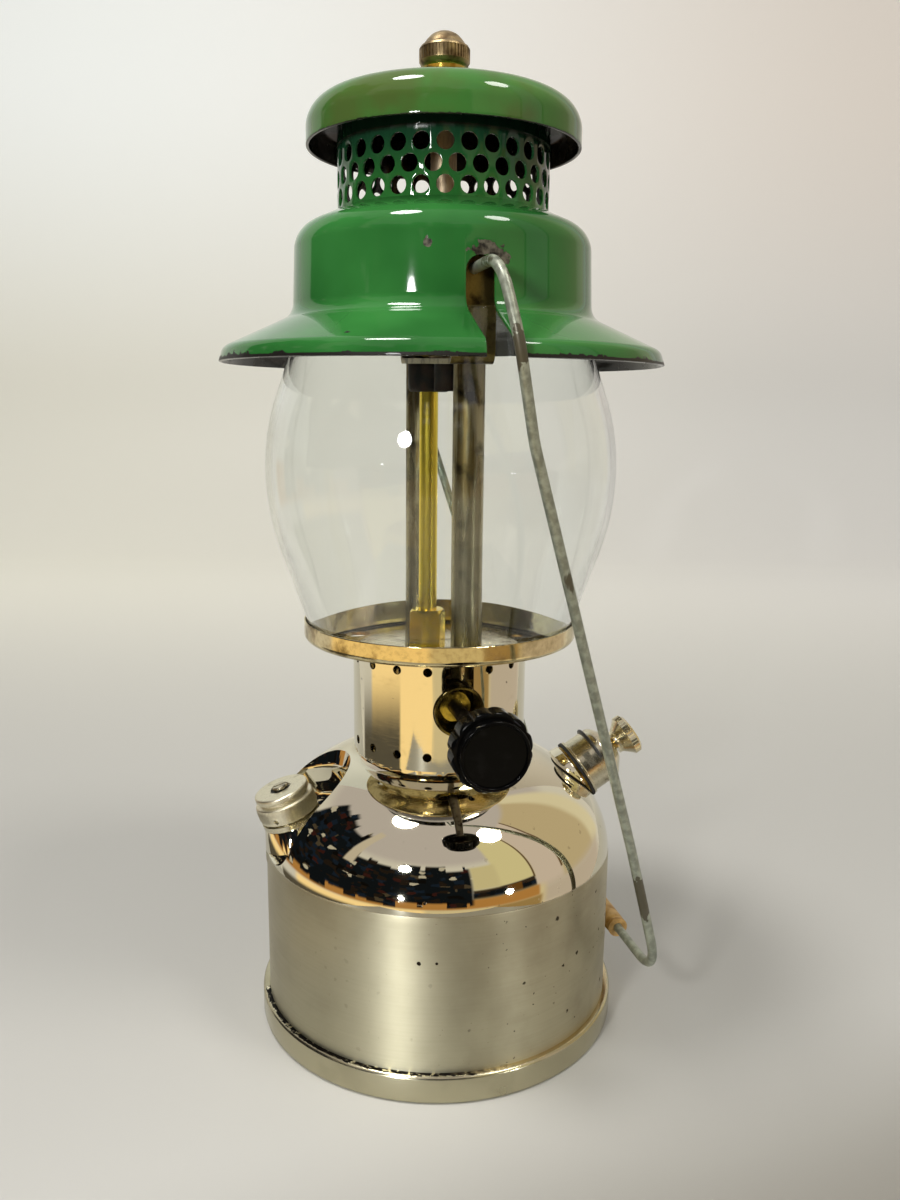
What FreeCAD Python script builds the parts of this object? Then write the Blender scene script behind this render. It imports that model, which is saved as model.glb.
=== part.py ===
import FreeCAD, Part
import os
from math import sin, cos, tan, asin, acos, atan2, radians, degrees, sqrt, pi

# A gas lantern that burns white gas, in millimetres. Z is up and the lantern's axis is x = y = 0.
# The valve wheel points to -Y, the pump to +X and the filler to -X.
# The bail turns about a line along Y and hangs down on the +X side.

V = FreeCAD.Vector

# Clearances and overruns
seat_gap = 0.1          # flat pieces that rest on each other
loose_gap = 0.3         # pieces that pass each other
running_gap = 0.08      # a shaft in its bore, on the radius
overrun = 5.0           # how far a cutting tool runs past what it cuts

# Fount
wall_r = 61.3
sheet_t = 0.9
shoulder_z = 60.0
shoulder_arc_r = 32.0
shoulder_end_deg = 45.0
dome_end_deg = 14.4
neck_r = 29.4
neck_foot = 1.2
neck_h = 5.2
neck_show = 2.6
neck_round = 1.0

# Base pan, crimped round the foot of the fount
pan_t = 1.0
crimp_r = 63.7
crimp_h = 9.6
crimp_round = 1.3
bead_r = 52.0
bead_w = 6.0
bead_h = 1.2
bead_round = 1.0

# Filler, on an axis that leans out over the -X side
filler_inset = 8.2
filler_rise = 15.4
filler_lean_deg = 18.5
pocket_r = 22.4
pocket_mouth_r = 27.2
pocket_mouth_h = 13.0
pocket_lip_h = 5.5
pocket_depth = 9.5
pocket_floor_r = 16.0
pocket_round = 5.0
boss_top_r = 9.9
boss_foot_r = 13.4
boss_foot_h = 11.0
boss_tail_r = 12.4
boss_tail_h = 2.8
neck_flange_r = 10.2
neck_flange_h = 1.8
neck_flange_drop = 0.4
neck_tube_r = 7.6
neck_bore_r = 6.4
neck_tail = 4.0
neck_thread_r = 8.8
neck_thread_h = 5.0
thread_groove = 0.35
thread_pitch = 1.5
thread_count = 3

# Filler cap, its insert, gasket and screw
cap_knurl_r = 10.7
cap_knurl_h = 5.6
cap_disc_r = 9.3
cap_disc_h = 2.3
cap_step_h = 1.6
cap_step_r = 8.7
cap_lift = 0.3
cap_flute = 0.45
cap_flutes = 44
cap_roof_t = 1.0
cap_vent_r = 0.8
cap_vent_h = 1.7
cap_vent_turn_deg = 62.0
gasket_t = 0.9
gasket_r = 8.3
insert_t = 0.7
cap_screw_head_r = 2.7
cap_screw_head_h = 1.1
cap_screw_r = 1.5
slot_w = 0.7
slot_d = 0.6
cap_travel = 6.0

# Pump, on an axis that rises towards +X
pump_inset = 8.3
pump_rise = 23.4
pump_rise_deg = 32.3
pump_boss_r = 10.9
pump_boss_foot_r = 12.4
pump_boss_h = 13.0
pump_seat_r = 11.7
pump_gasket_r = 11.2
pump_gasket_t = 0.9
pump_cap_r = 10.3
pump_cap_lip_r = 11.0
pump_cap_lip_h = 1.2
pump_cap_side_h = 11.2
pump_cap_h = 15.6
pump_cap_crown_r = 5.0
pump_cap_t = 0.9
pump_cap_round = 2.6
pump_window_w = 5.4
pump_window_h = 2.6
pump_window_z = 3.2
pump_windows = 3
pump_window_turn_deg = 150.0
pump_tube_r = 8.6
pump_tube_t = 0.6
pump_tube_len = 46.0
pump_flange_r = 10.2
pump_flange_t = 0.8
check_valve_r = 4.0
check_valve_len = 8.0
check_valve_step_r = 2.6
check_valve_step = 3.0
plunger_r = 2.3
cup_r = 7.9
cup_h = 5.0
cup_wall = 1.2
cup_start = 43.0
air_stem_r = 1.2
plunger_bore_r = air_stem_r + running_gap
knob_start = 16.6
knob_neck_r = 4.3
knob_neck_h = 1.2
knob_r = 7.7
knob_flare_h = 3.4
knob_rim_h = 2.4
knob_crown_h = 0.9
knob_flute = 0.3
knob_flutes = 36
clip_wire_r = 0.6
clip_z = 8.4
clip_start_deg = 60.0
clip_sweep_deg = 190.0
clip_curl_r = 1.5
clip_curl_deg = 250.0

# Valve, on an axis that runs from the lantern's axis to -Y
valve_rise = 20.4
bushing_r = 9.0
bushing_flange_af = 19.7
bushing_flange_h = 3.4
bushing_tail = 6.0
valve_spigot_r = 6.0
valve_column_r = 7.0
valve_column_top = 8.2
valve_boss_r = 5.6
valve_boss_len = 15.0
valve_nose_r = 3.8
valve_nose_len = 6.0
valve_bore_end = 2.0
stem_r = 2.4
pickup_r = 2.5
pickup_t = 0.6
pickup_floor_gap = 2.5
packing_af = 10.0
packing_len = 8.4
shield_r = 8.3
shield_t = 0.6
shield_out = 0.6
wheel_r = 12.4
wheel_lobe = 0.9
wheel_lobes = 12
wheel_back = 61.4
wheel_hub_r = 5.0
wheel_hub_h = 2.2
wheel_body_h = 7.0
wheel_edge = 1.6
wheel_ring_r = 10.5
wheel_face_h = 3.2
wheel_dish = 0.9
wheel_ring_w = 1.1
wheel_ring_round = 0.5

# Frame collar under the globe
collar_t = 0.7
collar_h = 39.4
vent_hole_r = 1.5
vent_hole_low = 4.8
vent_hole_high = 33.6
vent_holes = 18
cutout_gap = 0.3
slot_half_w = 4.7

# Globe
glass_t = 2.0
globe_belly_r = 58.6
globe_belly_h = 56.6
globe_low_arc_r = 85.0
globe_low_arc_h = 28.0
globe_high_arc_r = 72.0
globe_high_arc_h = 23.5
globe_h = 106.0

# Globe tray
tray_t = 1.0
tray_lip_h = 6.7
tray_lip_t = 0.6
tray_lip_round_share = 0.45
tray_globe_gap = 0.35
tray_round = 2.0
tray_step_h = 1.0
tray_step_r = 26.4
tray_step_w = 2.4
tray_hole_r = 4.7
tray_small_hole_r = 2.2
# radius and turn from -Y towards +X of the tray's holes
tray_large_holes = [(38.0, -139.5), (33.0, -110.0)]
tray_small_holes = [(31.6, 29.0), (35.2, 114.0)]

# Generator and burner
generator_x = -2.9
generator_y = 7.0
generator_r = 3.2
generator_t = 0.7
generator_foot_r = 4.2
generator_foot_t = 1.2
generator_boss_r = 4.6
generator_boss_low_r = 6.4
generator_boss_low_h = 16.0
generator_boss_rise = 4.2
nut_af = 11.0
nut_h = 8.6
nut_bevel = 1.0
rod_r = 0.8
rod_low = 5.0
needle_r = 0.3
rod_travel = 1.5
tip_r = 1.7
tip_h = 2.2
tip_hole_r = needle_r + running_gap
tube_r = 5.1
tube_t = 0.7
air_tube_x = 4.8
air_tube_y = -18.0
air_tube_drop = 10.4
support_tube_x = -3.3
support_tube_y = 19.2
chamber_r = 7.0
chamber_h = 7.6
chamber_t = 1.2
burner_x = 1.1
burner_y = -4.7
burner_r = 4.7
burner_t = 0.9
burner_h = 7.4
burner_hollow = 5.4

# Top bracket, stud and sleeve
strap_drop = 17.0
strap_t = 1.5
strap_half_w = 6.5
ear_inset = 2.7
ear_over = 5.4
strap_bend = 3.0
stud_r = 2.4
sleeve_r = 4.2
stud_in_nut = 11.4

# Bail
pivot_over = 10.5
wire_r = 1.6
bail_end_in = 1.4
bail_shoulder_in = 4.9
bail_bulge = 2.6
bail_bulge_drop = 0.6
bail_bulge_x = 3.6
bail_tuck_in = 2.9
bail_globe_gap = 2.0
bail_tuck_x = 10.3
bail_tuck_drop = 38.4
bail_low_y = 55.5
bail_low_x_in = 14.2
bail_low_rise = 50.0
bail_corner_y = 51.5
bail_foot_z = 26.0
bail_shoulder_round = 14.0
bail_bulge_round = 22.0
bail_tuck_round = 45.0
bail_knee_round = 60.0
bail_corner_round = 19.0
grip_r = 3.6
grip_len = 31.0
grip_ring_w = 1.1
grip_ring_in = 0.35

# Ventilator: hood, band and cap
hood_t = 1.0
brim_r = 72.4
brim_drop = 15.4
brim_roll_h = 4.4
brim_roll_in = 1.4
brim_round = 3.6
drum_gap = 2.0
drum_foot_drop = 0.6
drum_foot_round = 6.0
drum_top_over = 25.4
drum_round = 9.0
drum_taper = 1.0
shoulder_rise = 6.2
band_r = 33.9
band_t = 0.8
band_foot = 1.2
band_hole_r = 2.6
band_holes = 30
band_row_low = 3.1
band_row_pitch = 5.9
band_rows = 3
bail_slot_half_w = 4.2
bail_slot_over = 2.8
rim_r = 43.7
rim_over = 19.4
rim_t = 1.0
rim_corner_r = 9.0
cap_dome_r = 120.0
cap_side_h = 5.1

# Ball nut
nut_neck_r = 5.5
nut_neck_h = 5.2
nut_cone_h = 1.2
nut_knurl_r = 7.8
nut_knurl_h = 4.0
nut_dome_h = 5.0
nut_dome_mid_share = 0.72
nut_flute = 0.35
nut_flutes = 28
nut_bore_left = 3.0

# Places worked out from the sizes above
down = V(0, 0, -1)
up = V(0, 0, 1)
shoulder_end_r = wall_r - shoulder_arc_r + shoulder_arc_r * cos(radians(shoulder_end_deg))
shoulder_end_z = shoulder_z + shoulder_arc_r * sin(radians(shoulder_end_deg))
dome_end_r = neck_r + neck_foot
dome_arc_r = (shoulder_end_r - dome_end_r) / (sin(radians(shoulder_end_deg)) - sin(radians(dome_end_deg)))
dome_end_z = shoulder_end_z + dome_arc_r * (cos(radians(dome_end_deg)) - cos(radians(shoulder_end_deg)))
neck_top_z = dome_end_z + neck_h
collar_z = dome_end_z + neck_show
collar_r = neck_r + collar_t
tray_z = collar_z + collar_h
tray_floor_z = tray_z + tray_t
tray_stage_z = tray_floor_z + tray_step_h
globe_z = tray_floor_z + seat_gap
belly_z = globe_z + globe_belly_h
globe_top_z = globe_z + globe_h
stem_z = collar_z + valve_rise
strap_z = globe_top_z - strap_drop
pivot_z = globe_top_z + pivot_over


def globe_slopes():
    """Slopes of the glass's straight ends, low and high."""
    low = tan(asin(globe_low_arc_h / globe_low_arc_r))
    high = tan(asin(globe_high_arc_h / globe_high_arc_r))
    return low, high


low_slope, high_slope = globe_slopes()
globe_low_r = globe_belly_r - globe_low_arc_r + sqrt(globe_low_arc_r ** 2 - globe_low_arc_h ** 2)
globe_high_r = globe_belly_r - globe_high_arc_r + sqrt(globe_high_arc_r ** 2 - globe_high_arc_h ** 2)
globe_foot_r = globe_low_r - (globe_belly_h - globe_low_arc_h) * low_slope
globe_top_r = globe_high_r - (globe_h - globe_belly_h - globe_high_arc_h) * high_slope
tray_in_r = globe_foot_r + (tray_lip_h - tray_t) * low_slope + tray_globe_gap
tray_out_r = tray_in_r + tray_lip_t
ear_y = globe_top_r - glass_t - ear_inset
drum_r = globe_top_r + drum_gap + hood_t
brim_z = globe_top_z - brim_drop
drum_top_z = globe_top_z + drum_top_over
band_z = drum_top_z + shoulder_rise
rim_z = band_z + rim_over
corner_z = rim_z + cap_side_h
dome_centre_z = corner_z - sqrt((cap_dome_r - rim_corner_r) ** 2 - (rim_r - rim_corner_r) ** 2)
apex_z = dome_centre_z + cap_dome_r
grip_x = wall_r + loose_gap + grip_r
pump_x = wall_r - pump_inset
pump_z = shoulder_z + pump_rise
filler_x = wall_r - filler_inset
filler_z = shoulder_z + filler_rise

filler_place = FreeCAD.Placement(V(-filler_x, 0, filler_z), FreeCAD.Rotation(V(0, 1, 0), -filler_lean_deg))
pump_place = FreeCAD.Placement(V(pump_x, 0, pump_z), FreeCAD.Rotation(V(0, 1, 0), 90 - pump_rise_deg))
valve_place = FreeCAD.Placement(V(0, 0, stem_z), FreeCAD.Rotation(V(1, 0, 0), 90))


# Drawing helpers

def rounded_edges(points, radii, closed=False):
    """Straight runs through the points, with a tangent arc of the given radius at each corner."""
    count = len(points)
    starts = []
    ends = []
    mids = []
    for i in range(count):
        here = points[i]
        radius = radii[i]
        inner = closed or 0 < i < count - 1
        if not inner or radius <= 0:
            starts.append(here)
            ends.append(here)
            mids.append(None)
            continue
        to_last = (points[i - 1] - here).normalize()
        to_next = (points[(i + 1) % count] - here).normalize()
        half = acos(max(-1.0, min(1.0, to_last.dot(to_next)))) / 2
        reach = radius / tan(half)
        middle = (to_last + to_next).normalize()
        starts.append(here + to_last * reach)
        ends.append(here + to_next * reach)
        mids.append(here + middle * (radius / sin(half) - radius))
    edges = []
    for i in range(count):
        if mids[i] is not None:
            edges.append(Part.Arc(starts[i], mids[i], ends[i]).toShape())
        if i == count - 1 and not closed:
            break
        following = (i + 1) % count
        if (starts[following] - ends[i]).Length > 1e-7:
            edges.append(Part.LineSegment(ends[i], starts[following]).toShape())
    return edges


def flat(pairs):
    """Radius and height pairs as points in the XZ plane."""
    return [V(r, 0, z) for r, z in pairs]


def turned_edges(edges):
    face = Part.Face(Part.Wire(edges))
    solid = face.revolve(V(0, 0, 0), up, 360)
    if solid.Volume < 0:
        solid.reverse()
    return solid


def turned(pairs, radii=None):
    """A solid turned about Z from a closed outline of radius and height pairs."""
    if radii is None:
        radii = [0] * len(pairs)
    return turned_edges(rounded_edges(flat(pairs), radii, True))


def ring(r_in, r_out, z_low, z_high):
    if r_in <= 0:
        return turned([(0, z_low), (r_out, z_low), (r_out, z_high), (0, z_high)])
    return turned([(r_in, z_low), (r_out, z_low), (r_out, z_high), (r_in, z_high)])


def offset_pairs(pairs, t):
    """The same open line, t away on its left side, with mitred corners."""
    points = flat(pairs)
    result = []
    for i, here in enumerate(points):
        before = (here - points[i - 1]).normalize() if i > 0 else None
        after = (points[i + 1] - here).normalize() if i < len(points) - 1 else None
        first = before or after
        second = after or before
        left_one = V(-first.z, 0, first.x)
        left_two = V(-second.z, 0, second.x)
        middle = (left_one + left_two).normalize()
        moved = here + middle * (t / middle.dot(left_one))
        result.append((moved.x, moved.z))
    return result


def sheet_outline(pairs, radii, t):
    """Closed outline of a bent sheet: an open line and the same line t to its left."""
    points = flat(pairs)
    inner_radii = []
    for i in range(len(points)):
        if radii[i] == 0:
            inner_radii.append(0)
            continue
        first = points[i] - points[i - 1]
        second = points[i + 1] - points[i]
        turns_left = first.x * second.z - first.z * second.x > 0
        inner_radii.append(max(radii[i] - t if turns_left else radii[i] + t, 0))
    inner = offset_pairs(pairs, t)
    outline = list(pairs) + inner[::-1]
    return outline, list(radii) + inner_radii[::-1]


def sheet(pairs, radii, t):
    outline, all_radii = sheet_outline(pairs, radii, t)
    return turned(outline, all_radii)


def post(x, y, r, z_low, z_high, r_in=0):
    solid = ring(r_in, r, z_low, z_high)
    solid.translate(V(x, y, 0))
    return solid


def hexagon(across, z_low, z_high):
    corner = across / sqrt(3)
    points = [V(corner * cos(radians(60 * i)), corner * sin(radians(60 * i)), z_low) for i in range(7)]
    return Part.Face(Part.makePolygon(points)).extrude(up * (z_high - z_low))


def fluted(r, depth, count, z_low, z_high):
    """A round bar with vee flutes along it."""
    points = []
    for i in range(2 * count + 1):
        radius = r if i % 2 == 0 else r - depth
        turn = pi * i / count
        points.append(V(radius * cos(turn), radius * sin(turn), z_low))
    return Part.Face(Part.makePolygon(points)).extrude(up * (z_high - z_low))


def cylinder(r, start, direction, length):
    return Part.makeCylinder(r, length, start, direction)


def turn_point(r, degrees_from_valve, z):
    """A point at a radius, turned from -Y towards +X."""
    turn = radians(degrees_from_valve)
    return V(r * sin(turn), -r * cos(turn), z)


def rod_along(points, radii, r):
    """Round wire along straight runs joined by tangent arcs."""
    path = Part.Wire(rounded_edges(points, radii))
    start = points[0]
    circle = Part.Wire(Part.Circle(start, points[1] - start, r).toShape())
    return path.makePipeShell([circle], True, False)


def placed(solid, place):
    result = solid.copy()
    result.Placement = place.multiply(result.Placement)
    return result


# Fount

def dome_solid(inset):
    """Wall, shoulder and dome as a filled form, drawn in by the inset."""
    turn = radians(shoulder_end_deg)
    centre = V(wall_r - shoulder_arc_r, 0, shoulder_z)
    arc_r = shoulder_arc_r - inset
    arc = [centre + V(arc_r * cos(turn * share), 0, arc_r * sin(turn * share)) for share in (0, 0.5, 1)]
    normal_end = radians(90 - dome_end_deg)
    dome_r = dome_arc_r - inset
    dome_centre = V(shoulder_end_r, 0, shoulder_end_z) - V(cos(turn), 0, sin(turn)) * dome_arc_r
    dome = []
    for share in (0, 0.5, 1):
        angle = turn + (normal_end - turn) * share
        dome.append(dome_centre + V(dome_r * cos(angle), 0, dome_r * sin(angle)))
    neck_side = neck_r - inset
    top_z = neck_top_z - inset
    foot = V(wall_r - inset, 0, pan_t)
    edges = [Part.LineSegment(V(0, 0, pan_t), foot).toShape()]
    edges.append(Part.LineSegment(foot, arc[0]).toShape())
    edges.append(Part.Arc(*arc).toShape())
    edges.append(Part.Arc(*dome).toShape())
    neck = [dome[2], V(neck_side, 0, dome_end_z + neck_round - inset), V(neck_side, 0, top_z), V(0, 0, top_z)]
    edges += rounded_edges(neck, [0, 0, neck_round, 0])
    edges.append(Part.LineSegment(V(0, 0, top_z), V(0, 0, pan_t)).toShape())
    return turned_edges(edges)


def pocket_solid(wall):
    """The bowl pressed in round the filler, in the filler's own frame, grown by the wall."""
    top_h = pocket_mouth_h + overrun
    pairs = [(0, top_h), (0, -pocket_depth - wall)]
    pairs += [(pocket_r + wall, -pocket_depth - wall), (pocket_r + wall, pocket_lip_h)]
    pairs += [(pocket_mouth_r + wall, pocket_mouth_h), (pocket_mouth_r + wall, top_h)]
    return turned(pairs, [0, 0, pocket_round + wall, pocket_round, 0, 0])


def filler_boss(wall):
    top_h = -neck_flange_h - neck_flange_drop - wall
    foot_h = top_h - boss_foot_h
    tail_h = foot_h - boss_tail_h
    pairs = [(0, tail_h), (boss_tail_r - wall, tail_h), (boss_foot_r - wall, foot_h)]
    pairs += [(boss_top_r - wall, top_h), (0, top_h)]
    return turned(pairs)


def pump_boss(wall):
    top_h = -pump_gasket_t - pump_flange_t - wall
    low_h = top_h - pump_boss_h
    return turned([(0, low_h), (pump_boss_foot_r - wall, low_h), (pump_boss_r - wall, top_h), (0, top_h)])


def pump_seat(wall):
    """Room cut for the pump's flange where the shoulder would reach it, grown by the wall."""
    low_h = -pump_gasket_t - pump_flange_t - wall
    return ring(0, pump_seat_r + wall, low_h, pump_cap_h)


def fount_shell():
    outer = dome_solid(0).cut([placed(pocket_solid(0), filler_place), placed(pump_seat(0), pump_place)])
    outer = outer.fuse([placed(filler_boss(0), filler_place), placed(pump_boss(0), pump_place)])
    inner = dome_solid(sheet_t)
    inner = inner.cut([placed(pocket_solid(sheet_t), filler_place), placed(pump_seat(sheet_t), pump_place)])
    inner = inner.fuse([placed(filler_boss(sheet_t), filler_place), placed(pump_boss(sheet_t), pump_place)])
    below = ring(0, wall_r - sheet_t, pan_t - overrun, pan_t)
    filler_hole = placed(ring(0, neck_tube_r, -boss_foot_h, overrun), filler_place)
    pump_hole = placed(ring(0, pump_tube_r, -pump_boss_h, overrun), pump_place)
    bushing_hole = ring(0, bushing_r, neck_top_z - overrun, neck_top_z + overrun)
    shell = outer.cut([inner, below, filler_hole, pump_hole, bushing_hole])
    return keep_largest(shell)


def keep_largest(shape):
    return max(shape.Solids, key=lambda solid: solid.Volume)


def fount_base():
    bead_in = bead_r - bead_w / 2
    bead_out = bead_r + bead_w / 2
    slope = bead_h
    under = [(0, 0), (bead_in - slope, 0), (bead_in, bead_h), (bead_out, bead_h), (bead_out + slope, 0)]
    under += [(crimp_r, 0), (crimp_r, crimp_h), (wall_r, crimp_h), (wall_r, pan_t)]
    over = [(bead_out + slope + pan_t, pan_t), (bead_out, bead_h + pan_t), (bead_in, bead_h + pan_t)]
    over += [(bead_in - slope - pan_t, pan_t), (0, pan_t)]
    radii = [0, bead_round, bead_round, bead_round, bead_round]
    radii += [crimp_round, crimp_round, 0, 0]
    radii += [0, 0, 0, 0, 0]
    return turned(under + over, radii)


# Filler

def filler_neck():
    flange_top = -neck_flange_drop
    flange_low = flange_top - neck_flange_h
    tail = flange_low - neck_tail
    pairs = [(neck_bore_r, tail), (neck_tube_r, tail), (neck_tube_r, flange_low), (neck_flange_r, flange_low)]
    pairs += [(neck_flange_r, flange_top), (neck_thread_r, flange_top)]
    for i in range(thread_count):
        low = flange_top + thread_pitch * (i + 0.5)
        pairs += [(neck_thread_r, low), (neck_thread_r - thread_groove, low + thread_pitch / 4)]
        pairs += [(neck_thread_r, low + thread_pitch / 2)]
    pairs += [(neck_thread_r, neck_thread_h), (neck_bore_r, neck_thread_h)]
    return turned(pairs)


def cap_levels():
    """Heights in the cap: underside, knurl top, step top, crown, roof underside."""
    knurl_top = cap_lift + cap_knurl_h
    step_top = knurl_top + cap_step_h
    crown = step_top + cap_disc_h
    roof = neck_thread_h + seat_gap + gasket_t + insert_t + seat_gap
    return knurl_top, step_top, crown, roof


def filler_cap():
    knurl_top, step_top, crown, roof = cap_levels()
    body = fluted(cap_knurl_r, cap_flute, cap_flutes, cap_lift, knurl_top)
    trim = turned([(0, cap_lift), (cap_knurl_r - cap_flute, cap_lift), (cap_knurl_r, cap_lift + cap_flute),
                   (cap_knurl_r, knurl_top - cap_flute), (cap_knurl_r - cap_flute, knurl_top), (0, knurl_top)])
    body = body.common(trim)
    crown_round = cap_disc_h / 4
    top = turned([(0, knurl_top), (cap_disc_r, knurl_top), (cap_step_r, step_top), (cap_disc_r, step_top),
                  (cap_disc_r, crown), (0, crown)], [0, 0, 0, crown_round, crown_round, 0])
    body = body.fuse(top)
    hollow = ring(0, neck_thread_r + running_gap, cap_lift - overrun, roof)
    screw_hole = ring(0, cap_screw_r, roof - overrun, crown + overrun)
    turn = radians(cap_vent_turn_deg)
    outward = V(-cos(turn), -sin(turn), 0)
    vent = cylinder(cap_vent_r, V(0, 0, cap_lift + cap_vent_h), outward, cap_knurl_r + overrun)
    return body.cut([hollow, screw_hole, vent]).removeSplitter()


def filler_gasket():
    low = neck_thread_h + seat_gap
    return ring(cap_screw_r + running_gap, gasket_r, low, low + gasket_t)


def filler_insert():
    low = neck_thread_h + seat_gap + gasket_t
    return ring(cap_screw_r + running_gap, gasket_r, low, low + insert_t)


def filler_cap_screw():
    knurl_top, step_top, crown, roof = cap_levels()
    foot = neck_thread_h + seat_gap
    head_top = crown + cap_screw_head_h
    head_round = cap_screw_head_h / 2
    body = turned([(0, foot), (cap_screw_r, foot), (cap_screw_r, crown), (cap_screw_head_r, crown),
                   (cap_screw_head_r, head_top), (0, head_top)], [0, 0, 0, 0, head_round, 0])
    slot = Part.makeBox(2 * cap_screw_head_r + overrun, slot_w, slot_d + overrun,
                        V(-cap_screw_head_r - overrun / 2, -slot_w / 2, head_top - slot_d))
    return body.cut(slot)


# Pump

def pump_tube():
    top = -pump_gasket_t
    low = -pump_tube_len
    inner = pump_tube_r - pump_tube_t
    pairs = [(inner, low + pump_flange_t), (inner, top), (pump_flange_r, top), (pump_flange_r, top - pump_flange_t)]
    pairs += [(pump_tube_r, top - pump_flange_t), (pump_tube_r, low), (check_valve_step_r, low)]
    pairs += [(check_valve_step_r, low + pump_flange_t)]
    return turned(pairs)


def check_valve():
    top = -pump_tube_len
    step_low = top - check_valve_step
    low = top - check_valve_len
    stem_seat = top + pump_flange_t
    pairs = [(0, low), (check_valve_step_r, low), (check_valve_step_r, step_low), (check_valve_r, step_low)]
    pairs += [(check_valve_r, top), (check_valve_step_r, top), (check_valve_step_r, stem_seat), (0, stem_seat)]
    return turned(pairs)


def pump_gasket():
    return ring(pump_tube_r - pump_tube_t, pump_gasket_r, -pump_gasket_t, 0)


def pump_cap():
    outer = [(plunger_r + running_gap, 0), (pump_cap_lip_r, 0), (pump_cap_lip_r, pump_cap_lip_h)]
    outer += [(pump_cap_r, pump_cap_lip_h), (pump_cap_r, pump_cap_side_h), (pump_cap_crown_r, pump_cap_h)]
    outer += [(plunger_r + running_gap, pump_cap_h)]
    lip_round = pump_cap_lip_h / 3
    body = turned(outer, [0, lip_round, lip_round, 0, pump_cap_round, pump_cap_round, 0])
    hollow_r = pump_tube_r - pump_tube_t
    hollow = turned([(0, -overrun), (hollow_r, -overrun), (hollow_r, pump_cap_side_h - pump_cap_t),
                     (pump_cap_crown_r, pump_cap_h - 2 * pump_cap_t), (0, pump_cap_h - 2 * pump_cap_t)])
    windows = []
    for i in range(pump_windows):
        box = Part.makeBox(pump_window_w, overrun, pump_window_h,
                           V(-pump_window_w / 2, pump_cap_r - pump_cap_t, pump_window_z))
        box.rotate(V(0, 0, 0), up, 360 * i / pump_windows + pump_window_turn_deg)
        windows.append(box)
    return body.cut([hollow] + windows)


def pump_clip():
    """Wire clip over the pump cap, with a small curl at one end."""
    path_r = pump_cap_r + clip_wire_r
    start = radians(clip_start_deg)
    profile = Part.Face(Part.Wire(Part.Circle(V(path_r, 0, clip_z), V(0, 1, 0), clip_wire_r).toShape()))
    arc = profile.revolve(V(0, 0, 0), up, clip_sweep_deg)
    arc.rotate(V(0, 0, 0), up, degrees(start))
    curl_at = V(path_r + clip_curl_r, 0, clip_z)
    curl_profile = Part.Face(Part.Wire(Part.Circle(V(path_r, 0, clip_z), V(0, 1, 0), clip_wire_r).toShape()))
    curl = curl_profile.revolve(curl_at, up, clip_curl_deg)
    curl.rotate(V(0, 0, 0), up, degrees(start))
    return arc.fuse(curl).removeSplitter()


def plunger_rod():
    cup_low = -cup_start
    return ring(plunger_bore_r, plunger_r, cup_low, knob_start)


def pump_cup():
    low = -cup_start
    high = low + cup_h
    pairs = [(plunger_r, high), (plunger_r, high - cup_wall), (cup_r - cup_wall, high - cup_wall)]
    pairs += [(cup_r - cup_wall, low), (cup_r, low), (cup_r, high)]
    return turned(pairs, [0, 0, cup_wall / 2, 0, 0, cup_wall / 2])


def air_stem():
    low = -pump_tube_len + pump_flange_t + seat_gap
    return ring(0, air_stem_r, low, knob_start - cup_h)


def pump_knob():
    flare_top = knob_start + knob_neck_h + knob_flare_h
    rim_top = flare_top + knob_rim_h
    crown = rim_top + knob_crown_h
    low = turned([(0, knob_start), (knob_neck_r, knob_start), (knob_neck_r, knob_start + knob_neck_h),
                  (knob_r - knob_flute, flare_top), (0, flare_top)], [0, 0, knob_flare_h / 2, 0, 0])
    rim = fluted(knob_r, knob_flute, knob_flutes, flare_top, rim_top)
    top = turned([(0, rim_top), (knob_r - knob_flute, rim_top), (knob_r - knob_flute - knob_crown_h, crown),
                  (0, crown)], [0, 0, knob_crown_h / 2, 0])
    return low.fuse([rim, top])


# Valve, in a frame whose Z runs along the stem to -Y

def fount_bushing():
    body = ring(valve_spigot_r, bushing_r, neck_top_z - bushing_tail, neck_top_z)
    flange = hexagon(bushing_flange_af, neck_top_z, neck_top_z + bushing_flange_h)
    flange = flange.cut(ring(0, valve_spigot_r, neck_top_z - overrun, neck_top_z + overrun))
    return body.fuse(flange)


def valve_body():
    spigot_low = neck_top_z - bushing_tail
    flange_top = neck_top_z + bushing_flange_h
    column_top = stem_z + valve_column_top
    boss_top = tray_stage_z + generator_boss_rise
    body = turned([(0, spigot_low), (valve_spigot_r, spigot_low), (valve_spigot_r, flange_top),
                   (valve_column_r, flange_top), (valve_column_r, column_top), (0, column_top)])
    low_top = flange_top + generator_boss_low_h
    low_boss = post(generator_x, generator_y, generator_boss_low_r, flange_top + seat_gap, low_top)
    high_boss = post(generator_x, generator_y, generator_boss_r, low_top, boss_top)
    arm = placed(ring(0, valve_boss_r, 0, valve_boss_len), valve_place)
    nose = placed(ring(0, valve_nose_r, 0, valve_boss_len + valve_nose_len), valve_place)
    body = body.fuse([low_boss, high_boss, arm, nose])
    stem_bore = placed(ring(0, stem_r + running_gap, -valve_bore_end, valve_boss_len + valve_nose_len + overrun),
                       valve_place)
    rod_bore = post(generator_x, generator_y, rod_r + loose_gap, stem_z + rod_low - loose_gap, boss_top + overrun)
    fuel_bore = ring(0, pickup_r - pickup_t, spigot_low - overrun, stem_z)
    return body.cut([stem_bore, rod_bore, fuel_bore])


def pickup_tube():
    top = neck_top_z - bushing_tail
    return ring(pickup_r - pickup_t, pickup_r, pan_t + pickup_floor_gap, top)


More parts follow.
